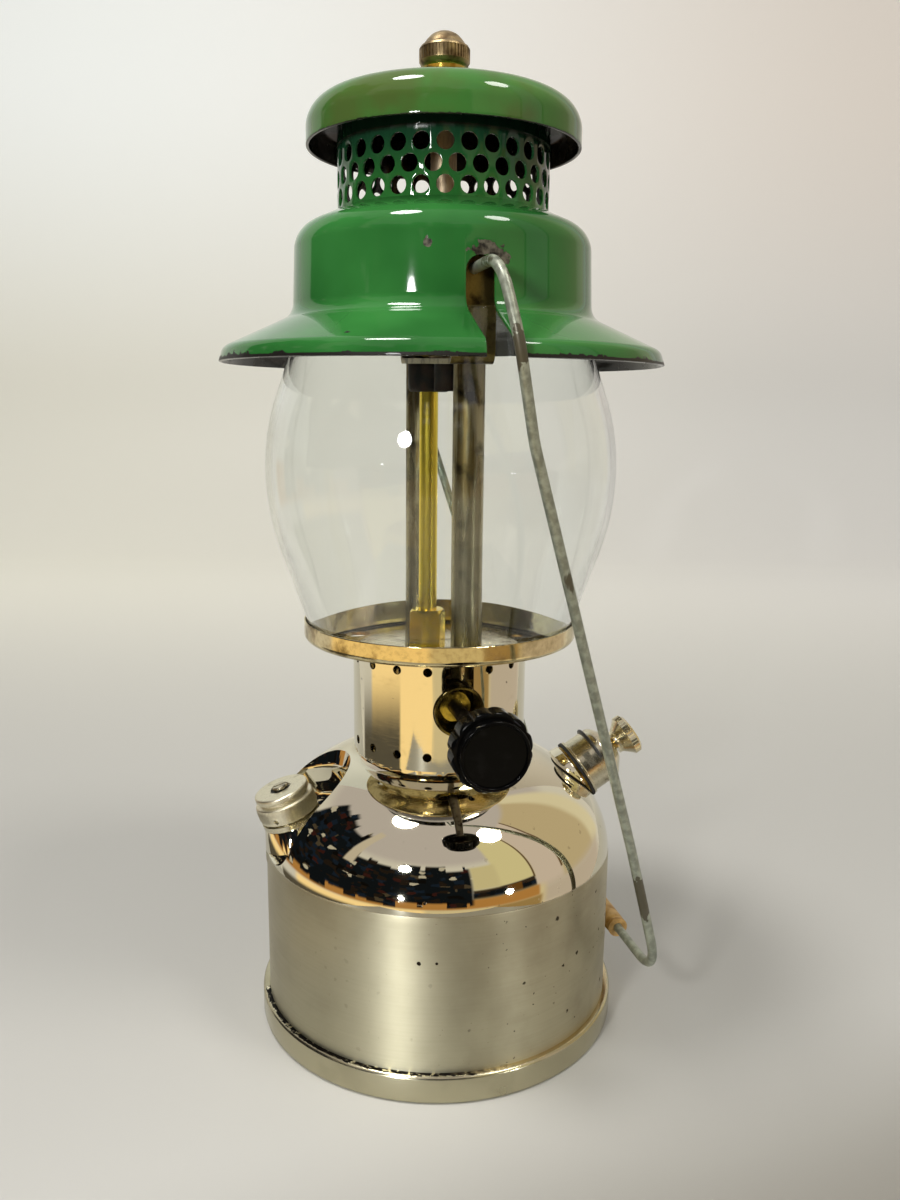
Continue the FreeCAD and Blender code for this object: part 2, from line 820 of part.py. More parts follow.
def packing_nut():
    low = valve_boss_len + shield_t
    body = hexagon(packing_af, low, low + packing_len)
    nose_room = ring(0, valve_nose_r, low - overrun, valve_boss_len + valve_nose_len)
    stem_room = ring(0, stem_r + running_gap, low - overrun, low + packing_len + overrun)
    corner = packing_af / sqrt(3)
    trim = turned([(0, low), (corner, low), (corner, low + packing_len - shield_t),
                   (corner - shield_t, low + packing_len), (0, low + packing_len)])
    return body.common(trim).cut([nose_room, stem_room])


def stem_shield():
    back = valve_boss_len
    front = collar_r + shield_out
    pairs = [(valve_nose_r, back), (shield_r, back), (shield_r, front), (shield_r - shield_t, front)]
    pairs += [(shield_r - shield_t, back + shield_t), (valve_nose_r, back + shield_t)]
    return turned(pairs)


def valve_stem():
    end = wheel_back + wheel_hub_h + wheel_body_h
    return ring(0, stem_r, -valve_bore_end + loose_gap, end)


def valve_wheel():
    hub_top = wheel_back + wheel_hub_h
    body_top = hub_top + wheel_body_h
    face = body_top + wheel_face_h - wheel_dish
    lip = body_top + wheel_face_h
    edges = []
    valley = wheel_r - wheel_lobe
    for i in range(wheel_lobes):
        turns = [2 * pi * (i + share) / wheel_lobes for share in (0, 0.5, 1)]
        points = [V(r * cos(a), r * sin(a), hub_top) for r, a in zip((valley, wheel_r, valley), turns)]
        edges.append(Part.Arc(*points).toShape())
    body = Part.Face(Part.Wire(edges)).extrude(up * wheel_body_h)
    trim = turned([(0, hub_top), (wheel_r, hub_top), (wheel_r, body_top), (0, body_top)],
                  [0, wheel_edge, wheel_edge, 0])
    body = body.common(trim)
    hub = turned([(0, wheel_back), (wheel_hub_r, wheel_back), (wheel_hub_r, hub_top), (0, hub_top)])
    ring_in = wheel_ring_r - wheel_ring_w
    front = turned([(0, body_top), (wheel_ring_r, body_top), (wheel_ring_r, lip), (ring_in, lip),
                    (ring_in, face), (0, face)], [0, 0, wheel_ring_round, wheel_ring_round, 0, 0])
    body = body.fuse([hub, front])
    bore = ring(0, stem_r, wheel_back - overrun, body_top)
    return body.cut(bore)


# Frame collar

def vent_rows():
    """Small round holes through the collar, two rows of them."""
    tools = []
    for height in (vent_hole_low, vent_hole_high):
        for i in range(vent_holes):
            outward = turn_point(1, 360 * i / vent_holes, 0)
            start = V(0, 0, collar_z + height) + outward * (collar_r - overrun)
            tools.append(cylinder(vent_hole_r, start, outward, 2 * overrun))
    return tools


def frame_collar():
    body = ring(neck_r, collar_r, collar_z, tray_z)
    cut_r = shield_r + cutout_gap
    round_hole = cylinder(cut_r, V(0, 0, stem_z), V(0, -1, 0), collar_r + overrun)
    slot = Part.makeBox(2 * slot_half_w, collar_r + overrun, tray_z - stem_z + overrun,
                        V(-slot_half_w, -collar_r - overrun, stem_z))
    return keep_largest(body.cut([round_hole, slot] + vent_rows()))


# Globe tray and globe

def globe_tray():
    lip_top = tray_z + tray_lip_h
    inner_step = tray_step_r
    outer_step = tray_step_r + tray_step_w
    pairs = [(0, tray_z + tray_step_h), (inner_step, tray_z + tray_step_h), (outer_step, tray_z)]
    pairs += [(tray_out_r, tray_z), (tray_out_r, lip_top), (tray_in_r, lip_top), (tray_in_r, tray_floor_z)]
    pairs += [(outer_step + tray_t / 2, tray_floor_z), (inner_step + tray_t / 2, tray_stage_z), (0, tray_stage_z)]
    lip_round = tray_lip_t * tray_lip_round_share
    radii = [0, tray_t, tray_t, tray_round, lip_round, lip_round, tray_t, tray_t, tray_t, 0]
    body = turned(pairs, radii)
    tools = []
    spots = [(generator_x, generator_y, generator_boss_r)]
    spots += [(air_tube_x, air_tube_y, tube_r)]
    for x, y, r in spots:
        tools.append(post(x, y, r + seat_gap, tray_z - overrun, tray_z + overrun))
    for radius, turn in tray_large_holes:
        spot = turn_point(radius, turn, 0)
        tools.append(post(spot.x, spot.y, tray_hole_r, tray_z - overrun, tray_z + overrun))
    for radius, turn in tray_small_holes:
        spot = turn_point(radius, turn, 0)
        tools.append(post(spot.x, spot.y, tray_small_hole_r, tray_z - overrun, tray_z + overrun))
    return body.cut(tools)


def globe_line(inset):
    """Edges of the glass's outline from foot to top, drawn in by the inset."""
    low_turn = asin(globe_low_arc_h / globe_low_arc_r)
    high_turn = asin(globe_high_arc_h / globe_high_arc_r)
    low_centre = V(globe_belly_r - globe_low_arc_r, 0, belly_z)
    high_centre = V(globe_belly_r - globe_high_arc_r, 0, belly_z)
    low_r = globe_low_arc_r - inset
    high_r = globe_high_arc_r - inset
    low = [low_centre + V(low_r * cos(a), 0, -low_r * sin(a)) for a in (low_turn, low_turn / 2, 0)]
    high = [high_centre + V(high_r * cos(a), 0, high_r * sin(a)) for a in (0, high_turn / 2, high_turn)]
    foot = V(low[0].x - (low[0].z - globe_z) * low_slope, 0, globe_z)
    top = V(high[2].x - (globe_top_z - high[2].z) * high_slope, 0, globe_top_z)
    edges = [Part.LineSegment(foot, low[0]).toShape(), Part.Arc(*low).toShape()]
    edges += [Part.Arc(*high).toShape(), Part.LineSegment(high[2], top).toShape()]
    return edges, foot, top


def globe():
    outer, outer_foot, outer_top = globe_line(0)
    inner, inner_foot, inner_top = globe_line(glass_t)
    ends = [Part.LineSegment(outer_top, inner_top).toShape(), Part.LineSegment(inner_foot, outer_foot).toShape()]
    edges = Part.__sortEdges__(outer + inner + ends)
    return turned_edges(edges)


# Generator and burner

def generator_nut():
    low = tray_stage_z + seat_gap
    boss_top = tray_stage_z + generator_boss_rise
    body = hexagon(nut_af, low, low + nut_h)
    corner = nut_af / sqrt(3)
    trim = turned([(0, low), (corner, low), (corner, low + nut_h - nut_bevel),
                   (corner - nut_bevel, low + nut_h),
                   (0, low + nut_h)])
    body = body.common(trim)
    room = ring(0, generator_boss_r, low - overrun, boss_top + generator_foot_t)
    bore = ring(0, generator_r, low - overrun, low + nut_h + overrun)
    body = body.cut([room, bore])
    body.translate(V(generator_x, generator_y, 0))
    return body


def generator_tube():
    low = tray_stage_z + generator_boss_rise
    inner = generator_r - generator_t
    top = strap_z - chamber_h + 2 * chamber_t
    pairs = [(inner, low), (generator_foot_r, low), (generator_foot_r, low + generator_foot_t)]
    pairs += [(generator_r, low + generator_foot_t), (generator_r, top), (inner, top)]
    body = turned(pairs)
    body.translate(V(generator_x, generator_y, 0))
    return body


def gas_tip():
    low = strap_z - chamber_h + 2 * chamber_t
    inner = generator_r - generator_t
    pairs = [(rod_r + loose_gap, low - tip_h), (inner, low - tip_h), (inner, low), (tip_r, low), (tip_r, low + tip_h)]
    pairs += [(tip_hole_r, low + tip_h), (tip_hole_r, low), (rod_r + loose_gap, low)]
    body = turned(pairs)
    body.translate(V(generator_x, generator_y, 0))
    return body


def cleaning_rod():
    low = stem_z + rod_low
    shoulder = strap_z - chamber_h + 2 * chamber_t - rod_travel - loose_gap
    tip = strap_z - chamber_h + 2 * chamber_t + tip_h - rod_travel
    body = turned([(0, low), (rod_r, low), (rod_r, shoulder), (needle_r, shoulder), (needle_r, tip), (0, tip)])
    body.translate(V(generator_x, generator_y, 0))
    return body


def mixing_chamber():
    low = strap_z - chamber_h
    inner = chamber_r - chamber_t
    hole = generator_r + seat_gap
    pairs = [(hole, low), (chamber_r, low), (chamber_r, strap_z), (0, strap_z), (0, strap_z - chamber_t)]
    pairs += [(inner, strap_z - chamber_t), (inner, low + chamber_t), (hole, low + chamber_t)]
    body = turned(pairs, [0, chamber_t, 0, 0, 0, 0, 0, 0])
    body.translate(V(generator_x, generator_y, 0))
    return body


def burner_cap():
    low = strap_z - burner_h
    inner = burner_r - burner_t
    pairs = [(inner, low), (burner_r, low), (burner_r, strap_z), (0, strap_z), (0, low + burner_hollow)]
    pairs += [(inner, low + burner_hollow)]
    body = turned(pairs)
    body.translate(V(burner_x, burner_y, 0))
    return body


def air_tube():
    return post(air_tube_x, air_tube_y, tube_r, tray_z - air_tube_drop, strap_z, tube_r - tube_t)


def support_tube():
    return post(support_tube_x, support_tube_y, tube_r, tray_stage_z, strap_z, tube_r - tube_t)


# Top bracket, stud and sleeve

def top_bracket():
    """A strap across the burner with an ear at each end, which carries the bail."""
    ear_top = pivot_z + ear_over
    outside = [V(0, -ear_y, ear_top), V(0, -ear_y, strap_z), V(0, ear_y, strap_z), V(0, ear_y, ear_top)]
    inner_y = ear_y - strap_t
    inner_z = strap_z + strap_t
    inside = [V(0, inner_y, ear_top), V(0, inner_y, inner_z), V(0, -inner_y, inner_z), V(0, -inner_y, ear_top)]
    radii = [0, strap_bend, strap_bend, 0, 0, strap_bend - strap_t, strap_bend - strap_t, 0]
    face = Part.Face(Part.Wire(rounded_edges(outside + inside, radii, True)))
    body = face.extrude(V(2 * strap_half_w, 0, 0))
    body.translate(V(-strap_half_w, 0, 0))
    span = 2 * ear_y + 2 * overrun
    round_z = ear_top - strap_half_w
    arch = Part.makeBox(4 * strap_half_w, span, 2 * strap_half_w, V(-2 * strap_half_w, -span / 2, round_z))
    top_cut = arch.cut(cylinder(strap_half_w, V(0, -span / 2, round_z), V(0, 1, 0), span))
    bail_hole = cylinder(wire_r + running_gap, V(0, -span / 2, pivot_z), V(0, 1, 0), span)
    stud_hole = ring(0, stud_r, strap_z - overrun, strap_z + overrun)
    return body.cut([top_cut, bail_hole, stud_hole])


def cap_under_z(r):
    """Height of the cap's underside at a radius."""
    return dome_centre_z + sqrt((cap_dome_r - rim_t) ** 2 - r ** 2)


def vent_stud():
    top = apex_z + stud_in_nut
    chamfer = stud_r / 4
    return turned([(0, strap_z), (stud_r, strap_z), (stud_r, top - chamfer), (stud_r - chamfer, top), (0, top)])


def stud_sleeve():
    low = strap_z + strap_t
    return ring(stud_r + seat_gap, sleeve_r, low, cap_under_z(sleeve_r) - seat_gap)


# Bail

def bail_route():
    """One leg of the bail from its end in the ear to the middle, at rest on the +X side."""
    side = brim_r + bail_bulge
    tuck_y = max(brim_r - bail_tuck_in, globe_belly_r + wire_r + bail_globe_gap)
    leg = [V(0, -ear_y + strap_t + bail_end_in, pivot_z)]
    leg.append(V(0, -(brim_r - bail_shoulder_in), pivot_z))
    leg.append(V(bail_bulge_x, -side, brim_z + 2 * bail_bulge - bail_bulge_drop))
    leg.append(V(bail_tuck_x, -tuck_y, globe_top_z - bail_tuck_drop))
    leg.append(V(grip_x - bail_low_x_in, -bail_low_y, bail_foot_z + bail_low_rise))
    leg.append(V(grip_x, -bail_corner_y, bail_foot_z))
    return leg


def bail_wire():
    leg = bail_route()
    far = [V(point.x, -point.y, point.z) for point in leg]
    bends = [0, bail_shoulder_round, bail_bulge_round, bail_tuck_round, bail_knee_round, bail_corner_round]
    return rod_along(leg + far[::-1], bends + bends[::-1], wire_r)


def bail_grip():
    half = grip_len / 2
    inner = wire_r + running_gap
    groove = grip_r - grip_ring_in
    pairs = [(inner, -half), (grip_r, -half), (grip_r, -half + grip_ring_w), (groove, -half + 2 * grip_ring_w)]
    pairs += [(grip_r, -half + 3 * grip_ring_w), (grip_r, half - 3 * grip_ring_w), (groove, half - 2 * grip_ring_w)]
    pairs += [(grip_r, half - grip_ring_w), (grip_r, half), (inner, half)]
    body = turned(pairs)
    body.rotate(V(0, 0, 0), V(1, 0, 0), 90)
    body.translate(V(grip_x, 0, bail_foot_z))
    return body


# Ventilator

def hood():
    """Brim, drum and shoulder in one sheet, with a slot for the bail on each side."""
    drum_foot_z = globe_top_z - drum_foot_drop
    line = [(brim_r, brim_z), (brim_r - brim_roll_in, brim_z + brim_roll_h), (drum_r, drum_foot_z)]
    line += [(drum_r - drum_taper, drum_top_z), (band_r - overrun, band_z + overrun * shoulder_rise / (drum_r - band_r))]
    body = sheet(line, [0, brim_round, drum_foot_round, drum_round, 0], hood_t)
    middle = ring(0, band_r, brim_z, rim_z)
    slot_top = pivot_z + bail_slot_over
    corner = bail_slot_half_w
    slot = Part.makeBox(2 * bail_slot_half_w, 2 * brim_r + 2 * overrun, slot_top - corner - brim_z + overrun,
                        V(-bail_slot_half_w, -brim_r - overrun, brim_z - overrun))
    crown = cylinder(corner, V(0, -brim_r - overrun, slot_top - corner), V(0, 1, 0), 2 * brim_r + 2 * overrun)
    return body.cut([middle, slot, crown])


def vent_band():
    """The band under the cap, with staggered rows of round holes."""
    low = band_z - band_foot
    body = ring(band_r - band_t, band_r, low, cap_under_z(band_r) - seat_gap)
    tools = []
    for row in range(band_rows):
        height = band_z + band_row_low + band_row_pitch * row
        for i in range(band_holes):
            turn = 360 * (i + 0.5 * (row % 2)) / band_holes
            outward = turn_point(1, turn, 0)
            start = V(0, 0, height) + outward * (band_r - 2 * band_hole_r)
            tools.append(cylinder(band_hole_r, start, outward, 4 * band_hole_r))
    return body.cut(tools)


def cap_edges(inset):
    """Side, corner and dome of the cap, drawn in by the inset."""
    corner_r = rim_corner_r - inset
    dome_r = cap_dome_r - inset
    centre = V(rim_r - rim_corner_r, 0, corner_z)
    dome_centre = V(0, 0, dome_centre_z)
    meet_turn = atan2(corner_z - dome_centre_z, rim_r - rim_corner_r)
    corner = [centre + V(corner_r * cos(a), 0, corner_r * sin(a)) for a in (0, meet_turn / 2, meet_turn)]
    hole_r = stud_r + loose_gap
    hole_turn = acos(hole_r / dome_r)
    middle_turn = (meet_turn + hole_turn) / 2
    dome = [dome_centre + V(dome_r * cos(a), 0, dome_r * sin(a)) for a in (meet_turn, middle_turn, hole_turn)]
    foot = V(rim_r - inset, 0, rim_z)
    edges = [Part.LineSegment(foot, corner[0]).toShape(), Part.Arc(*corner).toShape(), Part.Arc(*dome).toShape()]
    return edges, foot, dome[2]


def vent_cap():
    outer, outer_foot, outer_end = cap_edges(0)
    inner, inner_foot, inner_end = cap_edges(rim_t)
    ends = [Part.LineSegment(outer_foot, inner_foot).toShape(), Part.LineSegment(outer_end, inner_end).toShape()]
    return turned_edges(Part.__sortEdges__(outer + inner + ends))


def ball_nut():
    neck_top = apex_z + nut_neck_h
    cone_top = neck_top + nut_cone_h
    knurl_top = cone_top + nut_knurl_h
    crown = knurl_top + nut_dome_h
    shoulder = nut_knurl_r - nut_flute
    low = turned([(0, apex_z), (nut_neck_r, apex_z), (nut_neck_r, neck_top), (shoulder, cone_top), (0, cone_top)],
                 [0, 0, nut_cone_h, 0, 0])
    knurl = fluted(nut_knurl_r, nut_flute, nut_flutes, cone_top, knurl_top)
    start = V(shoulder, 0, knurl_top)
    middle = V(shoulder * nut_dome_mid_share, 0, knurl_top + nut_dome_h * nut_dome_mid_share)
    dome_edges = [Part.Arc(start, middle, V(0, 0, crown)).toShape()]
    dome_edges.append(Part.LineSegment(V(0, 0, crown), V(0, 0, knurl_top)).toShape())
    dome_edges.append(Part.LineSegment(V(0, 0, knurl_top), start).toShape())
    body = low.fuse([knurl, turned_edges(dome_edges)])
    bore = ring(0, stud_r + running_gap, apex_z - overrun, crown - nut_bore_left)
    return body.cut(bore)


pieces = {
    "fount_shell": fount_shell(),
    "fount_base": fount_base(),
    "fount_bushing": fount_bushing(),
    "pickup_tube": pickup_tube(),
    "filler_neck": placed(filler_neck(), filler_place),
    "filler_cap": placed(filler_cap(), filler_place),
    "filler_insert": placed(filler_insert(), filler_place),
    "filler_gasket": placed(filler_gasket(), filler_place),
    "filler_cap_screw": placed(filler_cap_screw(), filler_place),
    "pump_tube": placed(pump_tube(), pump_place),
    "check_valve": placed(check_valve(), pump_place),
    "pump_gasket": placed(pump_gasket(), pump_place),
    "pump_cap": placed(pump_cap(), pump_place),
    "pump_clip": placed(pump_clip(), pump_place),
    "plunger_rod": placed(plunger_rod(), pump_place),
    "pump_cup": placed(pump_cup(), pump_place),
    "air_stem": placed(air_stem(), pump_place),
    "pump_knob": placed(pump_knob(), pump_place),
    "valve_body": valve_body(),
    "packing_nut": placed(packing_nut(), valve_place),
    "stem_shield": placed(stem_shield(), valve_place),
    "valve_stem": placed(valve_stem(), valve_place),
    "valve_wheel": placed(valve_wheel(), valve_place),
    "frame_collar": frame_collar(),
    "globe_tray": globe_tray(),
    "globe": globe(),
    "generator_nut": generator_nut(),
    "generator_tube": generator_tube(),
    "gas_tip": gas_tip(),
    "cleaning_rod": cleaning_rod(),
    "mixing_chamber": mixing_chamber(),
    "burner_cap": burner_cap(),
    "air_tube": air_tube(),
    "support_tube": support_tube(),
    "top_bracket": top_bracket(),
    "vent_stud": vent_stud(),
    "stud_sleeve": stud_sleeve(),
    "hood": hood(),
    "vent_band": vent_band(),
    "vent_cap": vent_cap(),
    "ball_nut": ball_nut(),
    "bail_wire": bail_wire(),
    "bail_grip": bail_grip(),
}

os.makedirs("parts", exist_ok=True)
for name, shape in pieces.items():
    shape.exportStep("parts/" + name + ".step")
    box = shape.BoundBox
    print("%-18s solids %d valid %s volume %9.1f x %.1f..%.1f y %.1f..%.1f z %.1f..%.1f" % (
        name, len(shape.Solids), shape.isValid(), shape.Volume, box.XMin, box.XMax, box.YMin, box.YMax,
        box.ZMin, box.ZMax))
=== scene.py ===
import bpy
from math import radians, degrees, sin, cos, tan, asin, acos, atan2, pi
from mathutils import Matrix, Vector


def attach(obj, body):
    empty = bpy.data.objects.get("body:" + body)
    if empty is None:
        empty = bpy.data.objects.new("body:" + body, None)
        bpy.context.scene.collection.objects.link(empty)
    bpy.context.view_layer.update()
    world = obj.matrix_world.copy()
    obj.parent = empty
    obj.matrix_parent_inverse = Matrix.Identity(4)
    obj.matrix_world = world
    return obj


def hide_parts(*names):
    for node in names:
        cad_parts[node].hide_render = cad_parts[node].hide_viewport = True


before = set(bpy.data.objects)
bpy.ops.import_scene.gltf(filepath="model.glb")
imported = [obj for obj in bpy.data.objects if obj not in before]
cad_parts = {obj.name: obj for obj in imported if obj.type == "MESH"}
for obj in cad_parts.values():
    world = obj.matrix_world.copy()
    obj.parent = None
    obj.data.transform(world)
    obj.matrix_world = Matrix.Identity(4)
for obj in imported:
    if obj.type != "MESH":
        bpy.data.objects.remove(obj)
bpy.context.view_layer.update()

mm = 0.001

print("frame loaded:", len(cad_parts), "nodes")


# Ways of working: all sizes below are in millimetres

def freshStart():
    if bpy.context.object and bpy.context.object.mode != "OBJECT":
        bpy.ops.object.mode_set(mode="OBJECT")
    bpy.ops.object.select_all(action="DESELECT")


def pickOnly(piece):
    freshStart()
    piece.select_set(True)
    bpy.context.view_layer.objects.active = piece


def arcRun(centre, radius, start, end, steps):
    # points on an arc in the outline's plane, from one angle to another
    turns = [radians(start + (end - start) * i / steps) for i in range(steps + 1)]
    return [(centre[0] + radius * cos(turn), centre[1] + radius * sin(turn)) for turn in turns]


def roundOff(points, radii, steps=6):
    # an open line with its corners rounded
    line = []
    for i, point in enumerate(points):
        if radii[i] == 0:
            line.append(point)
            continue
        here = Vector(point)
        back = (Vector(points[i - 1]) - here).normalized()
        onward = (Vector(points[i + 1]) - here).normalized()
        half = acos(max(-1, min(1, back.dot(onward)))) / 2
        reach = radii[i] / tan(half)
        centre = here + (back + onward).normalized() * radii[i] / sin(half)
        first = here + back * reach - centre
        last = here + onward * reach - centre
        sweep = first.angle(last)
        side = 1 if first.cross(last) > 0 else -1
        for j in range(steps + 1):
            turn = side * sweep * j / steps
            arm = Vector((first.x * cos(turn) - first.y * sin(turn),
                          first.x * sin(turn) + first.y * cos(turn)))
            line.append(tuple(centre + arm))
    return line


def drawOutline(name, outline):
    # one vertex, extruded from point to point in the XZ plane
    freshStart()
    bpy.ops.mesh.primitive_plane_add(size=2 * mm)
    piece = bpy.context.object
    piece.name = name
    piece.data.name = name
    bpy.ops.object.mode_set(mode="EDIT")
    bpy.ops.mesh.merge(type="CENTER")
    here = outline[0]
    bpy.ops.transform.translate(value=(here[0] * mm, 0, here[1] * mm))
    for point in outline[1:]:
        step = ((point[0] - here[0]) * mm, 0, (point[1] - here[1]) * mm)
        bpy.ops.mesh.extrude_region_move(TRANSFORM_OT_translate={"value": step})
        here = point
    return piece


def turnPiece(name, outline, steps=144):
    # an outline of radius and height, spun about the upright axis
    piece = drawOutline(name, outline)
    bpy.ops.mesh.select_all(action="SELECT")
    bpy.ops.mesh.spin(steps=steps, angle=2 * pi, center=(0, 0, 0), axis=(0, 0, 1))
    bpy.ops.mesh.select_all(action="SELECT")
    bpy.ops.mesh.remove_doubles(threshold=0.002 * mm)
    bpy.ops.mesh.normals_make_consistent(inside=False)
    bpy.ops.object.mode_set(mode="OBJECT")
    return piece


def addCylinder(name, radius, depth, spot, direction=(0, 0, 1), sides=48):
    freshStart()
    turn = Vector((0, 0, 1)).rotation_difference(Vector(direction)).to_euler()
    bpy.ops.mesh.primitive_cylinder_add(vertices=sides, radius=radius * mm, depth=depth * mm,
                                        location=[v * mm for v in spot], rotation=turn)
    piece = bpy.context.object
    piece.name = name
    piece.data.name = name
    bpy.ops.object.transform_apply(location=True, rotation=True, scale=True)
    return piece


def addBlock(name, low, high):
    freshStart()
    middle = [(a + b) / 2 * mm for a, b in zip(low, high)]
    bpy.ops.mesh.primitive_cube_add(size=1, location=middle,
                                    scale=[(b - a) * mm for a, b in zip(low, high)])
    piece = bpy.context.object
    piece.name = name
    bpy.ops.object.transform_apply(location=True, rotation=True, scale=True)
    return piece


def thicken(piece, sheet):
    # a sheet's wall grows inwards from its outer face
    wall = piece.modifiers.new("wall", "SOLIDIFY")
    wall.thickness = sheet * mm
    wall.offset = -1
    wall.use_even_offset = True
    pickOnly(piece)
    bpy.ops.object.modifier_apply(modifier=wall.name)


def combine(piece, other, how):
    tool = piece.modifiers.new("combine", "BOOLEAN")
    tool.operation = how
    tool.solver = "EXACT"
    tool.object = other
    pickOnly(piece)
    bpy.ops.object.modifier_apply(modifier=tool.name)
    bpy.data.objects.remove(other, do_unlink=True)


def softenEdges(piece, width, segments=2, angle=35):
    tool = piece.modifiers.new("soften", "BEVEL")
    tool.width = width * mm
    tool.segments = segments
    tool.limit_method = "ANGLE"
    tool.angle_limit = radians(angle)
    tool.use_clamp_overlap = True
    pickOnly(piece)
    bpy.ops.object.modifier_apply(modifier=tool.name)


def standAt(piece, spot, direction):
    # a piece made upright at the origin is stood on its own axis
    piece.rotation_euler = Vector((0, 0, 1)).rotation_difference(Vector(direction)).to_euler()
    piece.location = [v * mm for v in spot]
    pickOnly(piece)
    bpy.ops.object.transform_apply(location=True, rotation=True, scale=True)
    return piece


def finishPiece(piece, body, material, stands=(), smooth=40):
    pickOnly(piece)
    bpy.ops.object.shade_smooth_by_angle(angle=radians(smooth))
    piece.data.materials.clear()
    piece.data.materials.append(material)
    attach(piece, body)
    if stands:
        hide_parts(*stands)


def dressNode(name, material):
    # a CAD node's own finish
    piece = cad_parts[name]
    pickOnly(piece)
    bpy.ops.object.shade_smooth_by_angle(angle=radians(35))
    piece.data.materials.clear()
    piece.data.materials.append(material)


# Shader helpers

def rgb(code):
    # a colour written as in a paint program, made linear
    parts = [int(code[i:i + 2], 16) / 255 for i in (0, 2, 4)]
    linear = [p / 12.92 if p <= 0.04045 else ((p + 0.055) / 1.055) ** 2.4 for p in parts]
    return (*linear, 1)


def addNode(tree, kind, inputs={}, **settings):
    # an input takes a plain value, or another node's output
    made = tree.nodes.new(kind)
    for key, value in settings.items():
        setattr(made, key, value)
    for key, value in inputs.items():
        if isinstance(value, bpy.types.NodeSocket):
            tree.links.new(value, made.inputs[key])
        else:
            made.inputs[key].default_value = value
    return made


def calc(tree, operation, first, second=0.5, clamp=False):
    made = addNode(tree, "ShaderNodeMath", {0: first, 1: second}, operation=operation)
    made.use_clamp = clamp
    return made.outputs[0]


def times(tree, first, second, clamp=False):
    return calc(tree, "MULTIPLY", first, second, clamp)


def plus(tree, first, second, clamp=False):
    return calc(tree, "ADD", first, second, clamp)


def minus(tree, first, second):
    return calc(tree, "SUBTRACT", first, second)


def mixColour(tree, share, first, second):
    # sockets 6 and 7 of the Mix node are its colours, and 2 is the mixed one
    return addNode(tree, "ShaderNodeMix", {0: share, 6: first, 7: second}, data_type="RGBA").outputs[2]


def mixValue(tree, share, first, second):
    return addNode(tree, "ShaderNodeMix", {0: share, 2: first, 3: second}, data_type="FLOAT").outputs[0]


def smoothRamp(tree, value, low, high):
    return addNode(tree, "ShaderNodeMapRange", {"Value": value, "From Min": low, "From Max": high},
                   interpolation_type="SMOOTHSTEP").outputs["Result"]


def startGroup(name, takes, gives):
    group = bpy.data.node_groups.new(name, "ShaderNodeTree")
    for label, kind, value in takes:
        socket = group.interface.new_socket(name=label, in_out="INPUT", socket_type=kind)
        if value is not None:
            socket.default_value = value
    for label, kind in gives:
        group.interface.new_socket(name=label, in_out="OUTPUT", socket_type=kind)
    start = group.nodes.new("NodeGroupInput")
    end = group.nodes.new("NodeGroupOutput")
    return group, start.outputs, end.inputs


def buildPatches():
    # soft-edged patches from a noise
    group, given, wanted = startGroup("patches", [
        ("Vector", "NodeSocketVector", None), ("Scale", "NodeSocketFloat", 100.0),
        ("Detail", "NodeSocketFloat", 3.0), ("Low", "NodeSocketFloat", 0.5),
        ("High", "NodeSocketFloat", 0.6)], [("Mask", "NodeSocketFloat")])
    noise = addNode(group, "ShaderNodeTexNoise",
                    {"Vector": given["Vector"], "Scale": given["Scale"], "Detail": given["Detail"]})
    group.links.new(smoothRamp(group, noise.outputs["Fac"], given["Low"], given["High"]), wanted["Mask"])
    return group


def buildSpecks():
    # small round marks, of which only some are there
    group, given, wanted = startGroup("specks", [
        ("Vector", "NodeSocketVector", None), ("Scale", "NodeSocketFloat", 300.0),
        ("Size", "NodeSocketFloat", 0.3), ("Share", "NodeSocketFloat", 0.2)],
        [("Mask", "NodeSocketFloat")])
    wobble = addNode(group, "ShaderNodeTexNoise", {"Vector": given["Vector"], "Scale": 900.0, "Detail": 2.0})
    shift = addNode(group, "ShaderNodeVectorMath", {0: wobble.outputs["Color"], "Scale": 0.0012},
                    operation="SCALE")
    moved = addNode(group, "ShaderNodeVectorMath", {0: given["Vector"], 1: shift.outputs[0]}, operation="ADD")
    cells = addNode(group, "ShaderNodeTexVoronoi", {"Vector": moved.outputs[0], "Scale": given["Scale"]})
    tints = addNode(group, "ShaderNodeSeparateColor", {"Color": cells.outputs["Color"]})
    there = calc(group, "LESS_THAN", tints.outputs["Red"], given["Share"])
    own = times(group, given["Size"], plus(group, tints.outputs["Green"], 0.35))
    edge = smoothRamp(group, cells.outputs["Distance"], own, times(group, own, 0.55))
    group.links.new(times(group, there, edge), wanted["Mask"])
    return group


def buildPlace():
    # where a point is on a turned piece: its radius and its height, in millimetres, and its turn
    group, given, wanted = startGroup("place on lathe", [("Vector", "NodeSocketVector", None)],
                                      [("Radius", "NodeSocketFloat"), ("Height", "NodeSocketFloat"),
                                       ("Turn", "NodeSocketFloat")])
    parts = addNode(group, "ShaderNodeSeparateXYZ", {"Vector": given["Vector"]})
    squares = plus(group, times(group, parts.outputs["X"], parts.outputs["X"]),
                   times(group, parts.outputs["Y"], parts.outputs["Y"]))
    radius = times(group, calc(group, "SQRT", squares), 1000.0)
    group.links.new(radius, wanted["Radius"])
    group.links.new(times(group, parts.outputs["Z"], 1000.0), wanted["Height"])
    group.links.new(calc(group, "ARCTAN2", parts.outputs["Y"], parts.outputs["X"]), wanted["Turn"])
    return group


def buildRamp():
    # 0 below one value and 1 above another
    group, given, wanted = startGroup("ramp", [
        ("Value", "NodeSocketFloat", 0.0), ("Low", "NodeSocketFloat", 0.0), ("High", "NodeSocketFloat", 1.0)],
        [("Mask", "NodeSocketFloat")])
    group.links.new(smoothRamp(group, given["Value"], given["Low"], given["High"]), wanted["Mask"])
    return group


